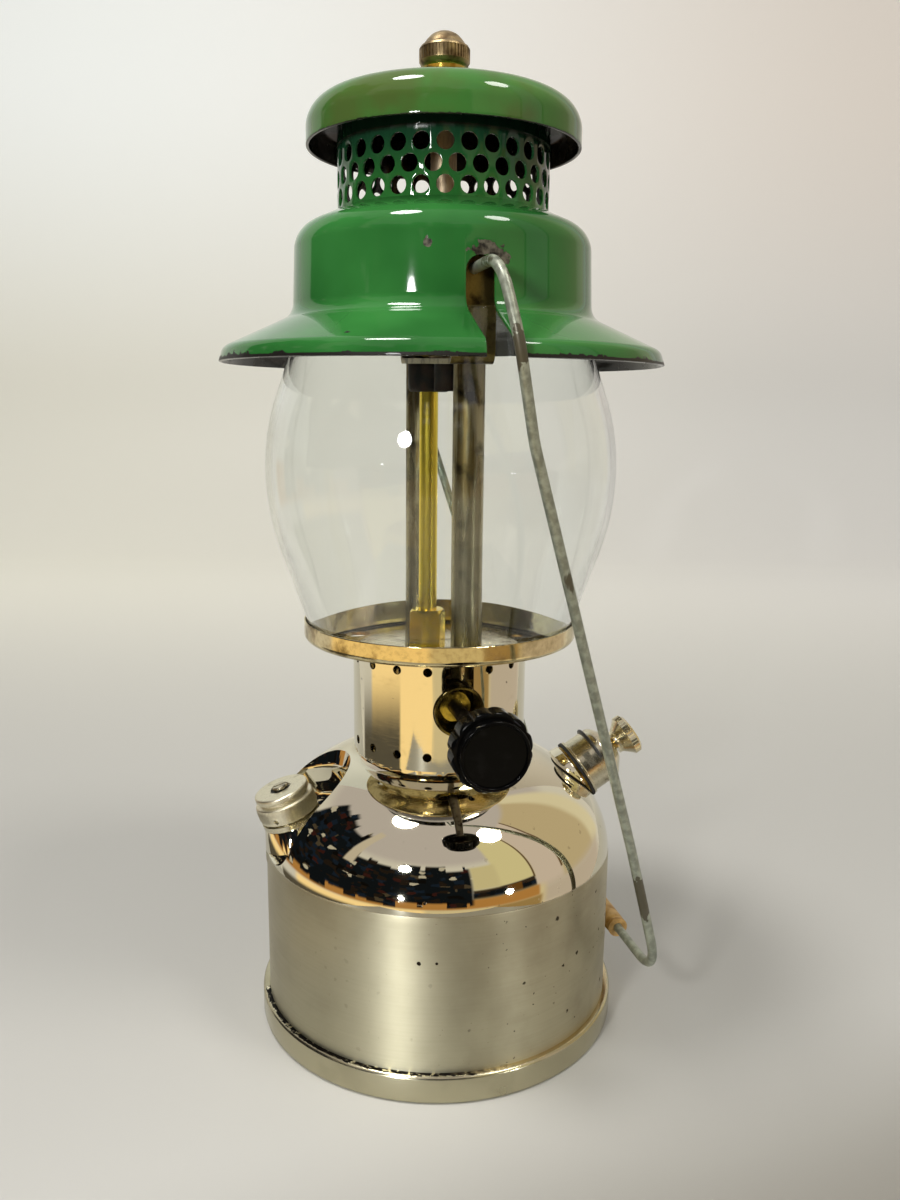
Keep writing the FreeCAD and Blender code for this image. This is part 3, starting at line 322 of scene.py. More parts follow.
def buildMark():
    # one ragged mark at a place of its own, all in metres
    group, given, wanted = startGroup("mark", [
        ("Vector", "NodeSocketVector", None), ("Centre", "NodeSocketVector", None),
        ("Size", "NodeSocketVector", None), ("Jag", "NodeSocketFloat", 0.5)], [("Mask", "NodeSocketFloat")])
    away = addNode(group, "ShaderNodeVectorMath", {0: given["Vector"], 1: given["Centre"]},
                   operation="SUBTRACT")
    scaled = addNode(group, "ShaderNodeVectorMath", {0: away.outputs[0], 1: given["Size"]},
                     operation="DIVIDE")
    far = addNode(group, "ShaderNodeVectorMath", {0: scaled.outputs[0]}, operation="LENGTH").outputs["Value"]
    noise = addNode(group, "ShaderNodeTexNoise", {"Vector": given["Vector"], "Scale": 420.0, "Detail": 3.0})
    shift = times(group, minus(group, noise.outputs["Fac"], 0.5), given["Jag"])
    ragged = plus(group, far, times(group, shift, 4.0))
    group.links.new(smoothRamp(group, ragged, 1.06, 0.94), wanted["Mask"])
    return group


sharedGroups = {"patches": buildPatches(), "specks": buildSpecks(), "place": buildPlace(),
                "ramp": buildRamp(), "mark": buildMark()}


def useGroup(tree, name, inputs):
    return addNode(tree, "ShaderNodeGroup", inputs, node_tree=sharedGroups[name]).outputs


def patchMask(tree, spot, scale, detail, low, high):
    # patches begin where the noise passes low, and are full at high
    return useGroup(tree, "patches", {"Vector": spot, "Scale": scale, "Detail": detail,
                                      "Low": low, "High": high})["Mask"]


def speckMask(tree, spot, scale, size, share):
    # share says how many of the cells hold a speck
    return useGroup(tree, "specks", {"Vector": spot, "Scale": scale, "Size": size, "Share": share})["Mask"]


def rampMask(tree, value, low, high):
    return useGroup(tree, "ramp", {"Value": value, "Low": low, "High": high})["Mask"]


def startMaterial(name, **plain):
    material = bpy.data.materials.new(name)
    material.use_nodes = True
    tree = material.node_tree
    shader = tree.nodes["Principled BSDF"]
    for label, value in plain.items():
        shader.inputs[label].default_value = value
    spot = addNode(tree, "ShaderNodeTexCoord").outputs["Object"]
    return material, tree, shader.inputs, spot


def reachAlong(tree, parts, axis):
    # how far a point lies along a level direction
    return plus(tree, times(tree, parts["X"], axis[0]), times(tree, parts["Y"], axis[1]))


def stretched(tree, spot, scale):
    return addNode(tree, "ShaderNodeMapping", {"Vector": spot, "Scale": scale}).outputs["Vector"]


def brushRound(tree, sockets):
    # the metal is brushed round the upright axis
    tangent = addNode(tree, "ShaderNodeTangent", direction_type="RADIAL", axis="Z")
    tree.links.new(tangent.outputs[0], sockets["Tangent"])


def bumpFrom(tree, height, distance, strength=1.0):
    bump = addNode(tree, "ShaderNodeBump", {"Height": height, "Distance": distance * mm,
                                            "Strength": strength})
    return bump.outputs["Normal"]


def laidMarks(tree, spot, marks, jag):
    # marks at places in millimetres, the strongest of them all
    total = None
    for centre, size in marks:
        made = useGroup(tree, "mark", {"Vector": spot, "Centre": [v * mm for v in centre],
                                       "Size": [v * mm for v in size], "Jag": jag})["Mask"]
        total = made if total is None else calc(tree, "MAXIMUM", total, made)
    return total


# Finishes

def nickelOnFount():
    # a satin wall brushed round the axis, and a mirror dome over it
    look = {"dome": "DCD6BF", "satin": "B4AE94", "dull": "979079", "pit": "241C14", "stain": "6E6450",
            "edgeHeight": 62.0, "domeRoughness": 0.03, "wallRoughness": 0.42, "pitFrom": -2.0, "pitTo": -1.2}
    noise = {"clouds": (55.0, 6.0, 0.35, 0.72), "rings": (1500.0, 4.0, 0.3, 0.75),
             "pits": (330.0, 0.24, 0.14), "finePits": (900.0, 0.22, 0.05), "dust": (700.0, 0.25, 0.1),
             "dustWhere": (40.0, 2.0, 0.48, 0.7)}
    pitMarks = [((-18.9, -58.3, 47.1), (0.7, 0.7, 0.7)), ((-13.6, -59.8, 47.3), (0.5, 0.5, 0.5)),
                ((-17.1, -58.0, 66.7), (0.45, 0.45, 0.45))]
    material, tree, sockets, spot = startMaterial("fount nickel", **{"Metallic": 1.0, "Anisotropic": 0.6,
                                                                    "Anisotropic Rotation": 0.25})
    brushRound(tree, sockets)
    place = useGroup(tree, "place", {"Vector": spot})
    onDome = rampMask(tree, place["Height"], look["edgeHeight"], look["edgeHeight"] + 1.0)
    rightSide = rampMask(tree, place["Turn"], look["pitFrom"], look["pitTo"])
    clouds = patchMask(tree, spot, *noise["clouds"])
    rings = patchMask(tree, stretched(tree, spot, (0.03, 0.03, 1)), *noise["rings"])
    pits = speckMask(tree, spot, *noise["pits"])
    finePits = speckMask(tree, spot, *noise["finePits"])
    pitted = times(tree, calc(tree, "MAXIMUM", pits, finePits), mixValue(tree, rightSide, 0.15, 0.9))
    pitted = calc(tree, "MAXIMUM", times(tree, pitted, mixValue(tree, onDome, 1.0, 0.25)),
                  laidMarks(tree, spot, pitMarks, 0.4))
    base = mixColour(tree, times(tree, clouds, 0.4), rgb(look["satin"]), rgb(look["dull"]))
    base = mixColour(tree, times(tree, rings, 0.12), base, rgb(look["dull"]))
    base = mixColour(tree, times(tree, times(tree, clouds, rightSide), 0.18), base, rgb(look["stain"]))
    base = mixColour(tree, onDome, base, rgb(look["dome"]))
    base = mixColour(tree, pitted, base, rgb(look["pit"]))
    tree.links.new(base, sockets["Base Color"])
    dust = speckMask(tree, spot, *noise["dust"])
    dustWhere = patchMask(tree, spot, *noise["dustWhere"])
    wallRough = plus(tree, times(tree, rings, 0.03), look["wallRoughness"])
    rough = mixValue(tree, onDome, wallRough, look["domeRoughness"])
    rough = plus(tree, rough, times(tree, times(tree, dust, dustWhere), 0.3))
    rough = plus(tree, rough, times(tree, pitted, 0.4), clamp=True)
    tree.links.new(rough, sockets["Roughness"])
    relief = minus(tree, times(tree, rings, mixValue(tree, onDome, 0.25, 0.0)), pitted)
    tree.links.new(bumpFrom(tree, relief, 0.01, 0.5), sockets["Normal"])
    return material


def nickelPolished():
    look = {"bright": "DED8C0", "stain": "8C7A54", "pit": "3A3026", "roughness": 0.045}
    noise = {"stains": (70.0, 4.0, 0.58, 0.75), "pits": (500.0, 0.2, 0.05), "fine": (220.0, 3.0, 0.3, 0.8)}
    material, tree, sockets, spot = startMaterial("polished nickel", Metallic=1.0)
    stains = patchMask(tree, spot, *noise["stains"])
    pits = speckMask(tree, spot, *noise["pits"])
    base = mixColour(tree, times(tree, stains, 0.4), rgb(look["bright"]), rgb(look["stain"]))
    base = mixColour(tree, times(tree, pits, 0.7), base, rgb(look["pit"]))
    tree.links.new(base, sockets["Base Color"])
    fine = patchMask(tree, stretched(tree, spot, (1, 1, 8)), *noise["fine"])
    rough = plus(tree, times(tree, fine, 0.05), look["roughness"])
    tree.links.new(plus(tree, rough, times(tree, pits, 0.3), clamp=True), sockets["Roughness"])
    return material


def nickelBase():
    # the crimp's top edge is worn black, with bright flecks and a brassy stretch at the right
    look = {"bright": "B7B196", "cloud": "8E866C", "worn": "15120F", "fleck": "E6DFC2", "brassy": "CFC09C",
            "wornFrom": 9.3, "wornIn": 63.15, "end": 1.2, "brassFrom": -1.62, "brassTo": -1.3,
            "roughness": 0.2}
    noise = {"jag": (500.0, 4.0, 0.25, 0.75), "flecks": (520.0, 5.0, 0.57, 0.62),
             "clouds": (60.0, 4.0, 0.5, 0.75)}
    material, tree, sockets, spot = startMaterial("base nickel", **{"Metallic": 1.0, "Anisotropic": 0.5,
                                                                   "Anisotropic Rotation": 0.25})
    brushRound(tree, sockets)
    place = useGroup(tree, "place", {"Vector": spot})
    jag = patchMask(tree, spot, *noise["jag"])
    edge = plus(tree, place["Height"], times(tree, jag, 0.5))
    inward = calc(tree, "LESS_THAN", plus(tree, place["Radius"], times(tree, jag, 0.7)), look["wornIn"])
    worn = times(tree, calc(tree, "GREATER_THAN", edge, look["wornFrom"]), inward)
    worn = times(tree, worn, calc(tree, "LESS_THAN", place["Turn"], look["end"]))
    flecks = patchMask(tree, spot, *noise["flecks"])
    brassy = rampMask(tree, plus(tree, place["Turn"], times(tree, jag, 0.2)), look["brassFrom"],
                      look["brassTo"])
    edgeColour = mixColour(tree, flecks, rgb(look["worn"]), rgb(look["fleck"]))
    edgeColour = mixColour(tree, brassy, edgeColour, rgb(look["brassy"]))
    clouds = patchMask(tree, spot, *noise["clouds"])
    base = mixColour(tree, times(tree, clouds, 0.35), rgb(look["bright"]), rgb(look["cloud"]))
    base = mixColour(tree, worn, base, edgeColour)
    tree.links.new(base, sockets["Base Color"])
    blackened = times(tree, worn, minus(tree, 1.0, calc(tree, "MAXIMUM", flecks, brassy)))
    rough = plus(tree, times(tree, clouds, 0.08), look["roughness"])
    tree.links.new(plus(tree, rough, times(tree, blackened, 0.3), clamp=True), sockets["Roughness"])
    tree.links.new(bumpFrom(tree, blackened, 0.05, 0.4), sockets["Normal"])
    return material


def metalFinish(name, bright, stain, stainShare, roughness, scale, streak=(1, 1, 1), marks=()):
    # plain metal with soft stains and a fine grain, for the fittings
    material, tree, sockets, spot = startMaterial(name, Metallic=1.0)
    laid = stretched(tree, spot, streak)
    stains = patchMask(tree, laid, scale, 5.0, 0.62 - stainShare, 0.85 - stainShare)
    fine = patchMask(tree, laid, scale * 7, 3.0, 0.4, 0.8)
    base = mixColour(tree, stains, rgb(bright), rgb(stain))
    base = mixColour(tree, times(tree, fine, 0.25), base, rgb(stain))
    if marks:
        base = mixColour(tree, laidMarks(tree, spot, marks, 0.2), base, rgb("17140F"))
    tree.links.new(base, sockets["Base Color"])
    rough = plus(tree, times(tree, stains, 0.15), roughness)
    tree.links.new(plus(tree, rough, times(tree, fine, 0.05), clamp=True), sockets["Roughness"])
    tree.links.new(bumpFrom(tree, fine, 0.01, 0.6), sockets["Normal"])
    return material


def tubeNickel():
    # burner tubes: brown heat tint towards the top, and stains running along them
    look = {"nickel": "B4AB8C", "brown": "6E5E3A", "dark": "2A2418", "tintFrom": 145.0, "tintTo": 226.0}
    noise = {"runs": (420.0, 4.0, 0.45, 0.7), "blots": (130.0, 4.0, 0.5, 0.72)}
    material, tree, sockets, spot = startMaterial("burner nickel", Metallic=1.0)
    place = useGroup(tree, "place", {"Vector": spot})
    hot = rampMask(tree, place["Height"], look["tintFrom"], look["tintTo"])
    runs = patchMask(tree, stretched(tree, spot, (1, 1, 0.07)), *noise["runs"])
    blots = patchMask(tree, spot, *noise["blots"])
    tint = times(tree, plus(tree, hot, 0.3), plus(tree, runs, 0.35), clamp=True)
    base = mixColour(tree, tint, rgb(look["nickel"]), rgb(look["brown"]))
    base = mixColour(tree, times(tree, blots, plus(tree, hot, 0.25)), base, rgb(look["dark"]))
    tree.links.new(base, sockets["Base Color"])
    tree.links.new(plus(tree, times(tree, tint, 0.2), 0.2), sockets["Roughness"])
    tree.links.new(bumpFrom(tree, runs, 0.01, 0.4), sockets["Normal"])
    return material


def greenEnamel():
    look = {"green": "377C39", "deep": "28642B", "olive": "5F8A3C", "rust": "5A4A28", "shade": "173A2C",
            "chip": "14110E", "bare": "8E8672", "roughness": 0.06, "brimEdge": 72.15, "rimEdge": 295.0,
            "capFrom": 293.0, "capTo": 296.0, "bandRadius": 34.2, "bandTop": 308.8, "shadeFrom": 277.0}
    noise = {"clouds": (22.0, 3.0, 0.35, 0.7), "browned": (45.0, 5.0, 0.42, 0.7),
             "jag": (650.0, 4.0, 0.3, 0.7), "where": (60.0, 3.0, 0.42, 0.62), "dots": (130.0, 0.1, 0.06)}
    # a star-like chip over the front slot, and a small one beside it
    chipMarks = [((1.8, -48.0, 258.9), (4.4, 3.0, 2.1)), ((6.0, -47.8, 256.6), (2.6, 3.0, 1.5)),
                 ((-14.7, -45.6, 260.2), (1.4, 2.0, 1.5))]
    material, tree, sockets, spot = startMaterial("green enamel", **{
        "Coat Weight": 0.15, "Coat Roughness": 0.02, "Specular IOR Level": 0.25})
    place = useGroup(tree, "place", {"Vector": spot})
    clouds = patchMask(tree, spot, *noise["clouds"])
    base = mixColour(tree, clouds, rgb(look["deep"]), rgb(look["green"]))
    onCap = rampMask(tree, place["Height"], look["capFrom"], look["capTo"])
    browned = patchMask(tree, spot, *noise["browned"])
    base = mixColour(tree, times(tree, onCap, 0.36), base, rgb(look["olive"]))
    base = mixColour(tree, times(tree, times(tree, onCap, browned), 0.5), base, rgb(look["rust"]))
    # the pierced band is darker towards the cap: a painted shadow of the cap over it
    onBand = calc(tree, "LESS_THAN", place["Radius"], look["bandRadius"])
    onBand = times(tree, onBand, calc(tree, "LESS_THAN", place["Height"], look["bandTop"]))
    underCapShadow = rampMask(tree, place["Height"], look["shadeFrom"], look["capTo"])
    base = mixColour(tree, times(tree, times(tree, onBand, underCapShadow), 0.9), base, rgb(look["shade"]))
    jag = patchMask(tree, spot, *noise["jag"])
    where = patchMask(tree, spot, *noise["where"])
    reach = times(tree, times(tree, jag, where), 0.5)
    brim = calc(tree, "GREATER_THAN", plus(tree, place["Radius"], reach), look["brimEdge"])
    rimGap = minus(tree, place["Height"], look["rimEdge"])
    rim = times(tree, calc(tree, "LESS_THAN", rimGap, times(tree, reach, 0.8)), onCap)
    dots = speckMask(tree, spot, *noise["dots"])
    patched = laidMarks(tree, spot, chipMarks, 0.75)
    chips = calc(tree, "MAXIMUM", calc(tree, "MAXIMUM", brim, rim), calc(tree, "MAXIMUM", dots, patched))
    chipColour = mixColour(tree, times(tree, jag, times(tree, patched, 0.6)), rgb(look["chip"]),
                           rgb(look["bare"]))
    base = mixColour(tree, chips, base, chipColour)
    tree.links.new(base, sockets["Base Color"])
    tree.links.new(plus(tree, times(tree, chips, 0.5), look["roughness"]), sockets["Roughness"])
    ripple = addNode(tree, "ShaderNodeTexNoise", {"Vector": spot, "Scale": 70.0,
                                                  "Detail": 2.0}).outputs["Fac"]
    relief = minus(tree, ripple, times(tree, chips, 0.8))
    tree.links.new(bumpFrom(tree, relief, 0.06, 0.5), sockets["Normal"])
    return material


def blackEnamel():
    material, tree, sockets, spot = startMaterial("black enamel")
    soot = patchMask(tree, spot, 90.0, 4.0, 0.4, 0.7)
    tree.links.new(mixColour(tree, soot, rgb("121310"), rgb("221C16")), sockets["Base Color"])
    tree.links.new(plus(tree, times(tree, soot, 0.25), 0.12), sockets["Roughness"])
    return material


def clearGlass():
    material, tree, sockets, spot = startMaterial("clear glass", **{"Transmission Weight": 1.0, "IOR": 1.47,
                                                                   "Roughness": 0.0})
    sockets["Base Color"].default_value = rgb("FCFEFD")
    wave = addNode(tree, "ShaderNodeTexNoise", {"Vector": stretched(tree, spot, (1, 1, 0.5)), "Scale": 38.0,
                                                "Detail": 1.0}).outputs["Fac"]
    tree.links.new(bumpFrom(tree, wave, 0.12, 0.3), sockets["Normal"])
    # light passes the glass on its way to what stands inside
    shader = tree.nodes["Principled BSDF"]
    output = tree.nodes["Material Output"]
    passing = addNode(tree, "ShaderNodeBsdfTransparent", {"Color": rgb("F4F8F6")})
    path = addNode(tree, "ShaderNodeLightPath")
    either = addNode(tree, "ShaderNodeMixShader", {0: path.outputs["Is Shadow Ray"], 1: shader.outputs[0],
                                                   2: passing.outputs[0]})
    tree.links.new(either.outputs[0], output.inputs["Surface"])
    return material


def blackPlastic():
    material, tree, sockets, spot = startMaterial("black plastic", **{"Specular IOR Level": 0.06})
    rub = patchMask(tree, spot, 200.0, 4.0, 0.5, 0.75)
    tree.links.new(mixColour(tree, rub, rgb("060606"), rgb("121110")), sockets["Base Color"])
    tree.links.new(plus(tree, times(tree, rub, 0.12), 0.1), sockets["Roughness"])
    return material


def burntIron():
    material, tree, sockets, spot = startMaterial("burnt iron", Metallic=0.6)
    scale = patchMask(tree, spot, 260.0, 5.0, 0.4, 0.65)
    tree.links.new(mixColour(tree, scale, rgb("191715"), rgb("3A2F26")), sockets["Base Color"])
    tree.links.new(plus(tree, times(tree, scale, 0.25), 0.45), sockets["Roughness"])
    tree.links.new(bumpFrom(tree, scale, 0.05, 0.6), sockets["Normal"])
    return material


def softMatt(name, first, second, roughness, scale):
    material, tree, sockets, spot = startMaterial(name)
    mottle = patchMask(tree, spot, scale, 4.0, 0.35, 0.7)
    tree.links.new(mixColour(tree, mottle, rgb(first), rgb(second)), sockets["Base Color"])
    tree.links.new(plus(tree, times(tree, mottle, 0.12), roughness), sockets["Roughness"])
    tree.links.new(bumpFrom(tree, mottle, 0.03, 0.5), sockets["Normal"])
    return material


def zincWire():
    # dull zinc, worn dark where the wire has rubbed
    look = {"dull": "85897A", "pale": "ABAF9D", "dark": "565140"}
    noise = {"dark": (150.0, 4.0, 0.64, 0.68), "mottle": (420.0, 5.0, 0.35, 0.7)}
    wornMarks = [((4.3, -73.9, 230.5), (5, 5, 5.6)), ((55.7, -54.2, 59.5), (5, 5, 9.0))]
    material, tree, sockets, spot = startMaterial("zinc wire")
    dark = patchMask(tree, stretched(tree, spot, (1, 1, 0.35)), *noise["dark"])
    dark = calc(tree, "MAXIMUM", dark, laidMarks(tree, spot, wornMarks, 0.5))
    mottle = patchMask(tree, spot, *noise["mottle"])
    base = mixColour(tree, mottle, rgb(look["dull"]), rgb(look["pale"]))
    base = mixColour(tree, dark, base, rgb(look["dark"]))
    tree.links.new(base, sockets["Base Color"])
    tree.links.new(minus(tree, 0.45, times(tree, dark, 0.2)), sockets["Metallic"])
    tree.links.new(plus(tree, times(tree, mottle, 0.15), 0.36), sockets["Roughness"])
    tree.links.new(bumpFrom(tree, mottle, 0.03, 0.6), sockets["Normal"])
    return material


def agedNut():
    # brown with age outside, and rubbed brass on the neck below
    look = {"brown": "A4916C", "dark": "5C4A32", "brass": "B89C4E", "neckTop": 319.7}
    noise = {"mottle": (260.0, 5.0, 0.38, 0.7)}
    material, tree, sockets, spot = startMaterial("aged brass", Metallic=1.0)
    place = useGroup(tree, "place", {"Vector": spot})
    mottle = patchMask(tree, spot, *noise["mottle"])
    crust = rampMask(tree, place["Height"], look["neckTop"] - 0.4, look["neckTop"] + 0.4)
    base = mixColour(tree, mottle, rgb(look["brown"]), rgb(look["dark"]))
    tree.links.new(mixColour(tree, crust, rgb(look["brass"]), base), sockets["Base Color"])
    tree.links.new(mixValue(tree, crust, 0.22, plus(tree, times(tree, mottle, 0.15), 0.36)),
                   sockets["Roughness"])
    tree.links.new(bumpFrom(tree, mottle, 0.03, 0.5), sockets["Normal"])
    return material


finish = {
    "fount": nickelOnFount(),
    "polished": nickelPolished(),
    "base": nickelBase(),
    "satin": metalFinish("satin nickel", "D2CBB2", "857A5C", 0.06, 0.2, 180.0),
    "cap": metalFinish("cap nickel", "DED8C0", "958A6A", 0.03, 0.36, 180.0,
                       marks=[((-56.1, 0, 84.4), (3.7, 3.7, 3.7))]),
    "screw": metalFinish("plated steel", "C4BCA4", "3E362A", 0.1, 0.25, 300.0),
    "tray": metalFinish("tray brass", "DACCA0", "76602C", 0.16, 0.12, 75.0),
    "bright": metalFinish("bright brass", "FFE258", "A4862A", 0.04, 0.2, 150.0, streak=(1, 1, 0.15)),
    "brass": metalFinish("plain brass", "C2A45C", "6E5628", 0.12, 0.25, 200.0),
    "knob": metalFinish("knob nickel", "E0D8BA", "93804F", 0.06, 0.2, 260.0),
    # the packing nut is darkened in big near-black patches
    "gland": metalFinish("gland brass", "C4AC48", "1E180C", 0.24, 0.16, 120.0),
    "shield": metalFinish("shield brass", "8F7F40", "2A2212", 0.2, 0.24, 200.0),
    "nut": agedNut(),
    "bracket": metalFinish("bracket brass", "8C7C48", "2A2014", 0.12, 0.3, 160.0),
    "dark": metalFinish("dark steel", "6A645C", "2B2520", 0.15, 0.32, 240.0),
    "pale": metalFinish("pale sleeve", "E0CCAC", "7A5A42", 0.14, 0.45, 200.0, streak=(1, 1, 0.25)),
    "tube": tubeNickel(),
    "green": greenEnamel(),
    "black": blackEnamel(),
    "glass": clearGlass(),
    "plastic": blackPlastic(),
    "iron": burntIron(),
    "rubber": softMatt("black rubber", "141414", "232220", 0.6, 400.0),
    "leather": softMatt("oiled leather", "4A2E1A", "2C1B10", 0.5, 500.0),
    "clip": softMatt("black wire", "101010", "24201C", 0.35, 500.0),
    "zinc": zincWire(),
    "grip": softMatt("fibre sleeve", "C6A05E", "9C7438", 0.45, 240.0),
}
print("finishes ready:", len(finish))


# Every CAD node gets a finish, and most of them stay as they are

nodeFinishes = {
    "fount_bushing": "brass", "pickup_tube": "brass", "filler_neck": "satin", "filler_insert": "satin",
    "filler_gasket": "rubber", "filler_cap": "cap", "filler_cap_screw": "screw", "pump_tube": "brass",
    "check_valve": "brass", "pump_gasket": "rubber", "pump_cap": "satin", "pump_clip": "clip",
    "plunger_rod": "brass", "pump_cup": "leather", "air_stem": "brass", "pump_knob": "knob",
    "valve_body": "brass", "packing_nut": "gland", "stem_shield": "shield", "valve_stem": "dark",
    "valve_wheel": "plastic", "frame_collar": "polished", "globe_tray": "tray", "globe": "glass",
    "generator_nut": "bright", "generator_tube": "bright", "gas_tip": "brass", "cleaning_rod": "dark",
    "mixing_chamber": "iron", "burner_cap": "iron", "air_tube": "tube", "support_tube": "tube",
    "top_bracket": "bracket", "vent_stud": "dark", "stud_sleeve": "pale", "hood": "green",
    "vent_band": "green", "vent_cap": "green", "ball_nut": "nut", "bail_wire": "zinc",
    "bail_grip": "grip", "fount_shell": "fount", "fount_base": "base",
}
for nodeName, finishName in nodeFinishes.items():
    dressNode(nodeName, finish[finishName])
print("nodes dressed:", len(nodeFinishes))


# Fount: wall and dome, with the filler's bowl and boss and the pump's boss

def buildFount():
    fount = {"wallRadius": 61.3, "foot": 1.1, "shoulderHeight": 60.0, "shoulderRadius": 32.0,
             "domeRadius": 46.6, "domeEnd": 75.6, "neckRadius": 29.4, "neckTop": 100.0,
             "neckBends": [0, 0, 1, 0]}
    filler = {"spot": (-53.1, 0, 75.4), "lean": 18.5, "bowlRadius": 22.4, "mouthRadius": 27.2,
              "mouthHeight": 13.0, "lipHeight": 5.5, "depth": 9.5, "above": 30.0,
              "bowlBends": [0, 0, 4, 5, 5, 0],
              "boss": [(0, -16), (12.4, -16), (13.4, -13.2), (9.9, -2.2), (0, -2.2)],
              "bossBends": [0, 0, 0, 0.5, 0]}
    pump = {"spot": (53.0, 0, 83.4), "rise": 32.3, "seatRadius": 11.7, "seatDepth": 1.7, "above": 20.0,
            "boss": [(0, -14.7), (12.4, -14.7), (10.9, -1.7), (0, -1.7)], "bossBends": [0, 0, 0.4, 0]}
    wall = fount["wallRadius"]
    top = fount["shoulderHeight"]
    shoulder = arcRun((wall - fount["shoulderRadius"], top), fount["shoulderRadius"], 0, 45, 22)
    last = shoulder[-1]
    reach = fount["domeRadius"] * cos(radians(45))
    dome = arcRun((last[0] - reach, last[1] - reach), fount["domeRadius"], 45, fount["domeEnd"], 20)
    neck = roundOff([dome[-1], (fount["neckRadius"], dome[-1][1] + 1),
                     (fount["neckRadius"], fount["neckTop"]), (0, fount["neckTop"])],
                    fount["neckBends"], 4)
    line = [(0, fount["foot"]), (wall, fount["foot"]), (wall, fount["foot"] + 1), (wall, 20), (wall, 40),
            (wall, top - 2), (wall, top - 0.7)]
    shell = turnPiece("fountShell", line + shoulder + dome[1:] + neck[1:], 224)
    # the bowl round the filler
    out = (-sin(radians(filler["lean"])), 0, cos(radians(filler["lean"])))
    radius = filler["bowlRadius"]
    bowl = [(0, filler["above"]), (filler["mouthRadius"], filler["above"]),
            (filler["mouthRadius"], filler["mouthHeight"]), (radius, filler["lipHeight"]),
            (radius, -filler["depth"]), (0, -filler["depth"])]
    bowlCut = turnPiece("bowlCut", roundOff(bowl, filler["bowlBends"], 10), 128)
    combine(shell, standAt(bowlCut, filler["spot"], out), "DIFFERENCE")
    # the flat that the pump's flange sits on
    pumpAxis = (cos(radians(pump["rise"])), 0, sin(radians(pump["rise"])))
    seat = turnPiece("seatCut", [(0, -pump["seatDepth"]), (pump["seatRadius"], -pump["seatDepth"]),
                                 (pump["seatRadius"], pump["above"]), (0, pump["above"])], 96)
    combine(shell, standAt(seat, pump["spot"], pumpAxis), "DIFFERENCE")
    # the raised bosses
    boss = turnPiece("fillerBoss", roundOff(filler["boss"], filler["bossBends"], 3), 96)
    combine(shell, standAt(boss, filler["spot"], out), "UNION")
    boss = turnPiece("pumpBoss", roundOff(pump["boss"], pump["bossBends"], 3), 96)
    combine(shell, standAt(boss, pump["spot"], pumpAxis), "UNION")
    softenEdges(shell, 0.45, 3, 28)
    finishPiece(shell, "fount", finish["fount"], ["fount_shell"], 30)


def buildBase():
    base = {"flange": 63.7, "height": 9.6, "wall": 61.3, "play": 0.03, "sheet": 1.0,
            "beadIn": 49.0, "beadOut": 55.0, "bead": 1.2,
            "bends": [0, 1, 1, 1, 1, 1.3, 1.2, 0, 0, 0]}
    depth = base["bead"]
    inside = base["wall"] + base["play"]
    under = [(0, 0), (base["beadIn"] - depth, 0), (base["beadIn"], depth), (base["beadOut"], depth),
             (base["beadOut"] + depth, 0), (base["flange"], 0), (base["flange"], base["height"]),
             (inside, base["height"]), (inside, base["sheet"]), (0, base["sheet"] + depth)]
    piece = turnPiece("fountBase", roundOff(under, base["bends"], 5), 224)
    finishPiece(piece, "fount", finish["base"], ["fount_base"], 40)


buildFount()
buildBase()
print("fount built")


# Ventilator: hood, pierced band and cap, green outside and black inside

def blackenInside(piece, test):
    # faces that pass the test take the second finish
    piece.data.materials.append(finish["black"])
    for face in piece.data.polygons:
        if test(face):
            face.material_index = 1


def outwardShare(face):
    # 1 where a face looks straight away from the axis, -1 where it looks at it
    return face.normal.dot(Vector((face.center.x, face.center.y, 0)).normalized())


def facesInward(face):
    return outwardShare(face) < -0.25 or face.normal.z < -0.35


def buildHood():
    hood = {"brimRadius": 72.4, "brimHeight": 228.5, "rollHeight": 4.4, "rollIn": 1.4, "drumRadius": 48.7,
            "drumFoot": 243.3, "drumTop": 269.3, "taper": 1.0, "bandRadius": 33.9, "shoulderTop": 275.5,
            "bends": [0, 3.6, 6, 9, 0], "sheet": 1.0, "slotHalf": 4.2, "slotTop": 257.2, "cutOver": 10}
    outer = [(hood["brimRadius"], hood["brimHeight"]),
             (hood["brimRadius"] - hood["rollIn"], hood["brimHeight"] + hood["rollHeight"]),
             (hood["drumRadius"], hood["drumFoot"]), (hood["drumRadius"] - hood["taper"], hood["drumTop"]),
             (hood["bandRadius"], hood["shoulderTop"])]
    piece = turnPiece("hood", roundOff(outer, hood["bends"], 12), 192)
    thicken(piece, hood["sheet"])
    half = hood["slotHalf"]
    reach = hood["brimRadius"] + hood["cutOver"]
    slotEnd = hood["slotTop"] - half
    slot = addBlock("slotCut", (-half, -reach, hood["brimHeight"] - hood["cutOver"]), (half, reach, slotEnd))
    combine(piece, slot, "DIFFERENCE")
    crown = addCylinder("slotCrown", half, 2 * reach, (0, 0, slotEnd), (0, 1, 0), 48)
    combine(piece, crown, "DIFFERENCE")
    softenEdges(piece, 0.3, 2, 50)
    finishPiece(piece, "ventilator", finish["green"], ["hood"], 40)
    blackenInside(piece, facesInward)


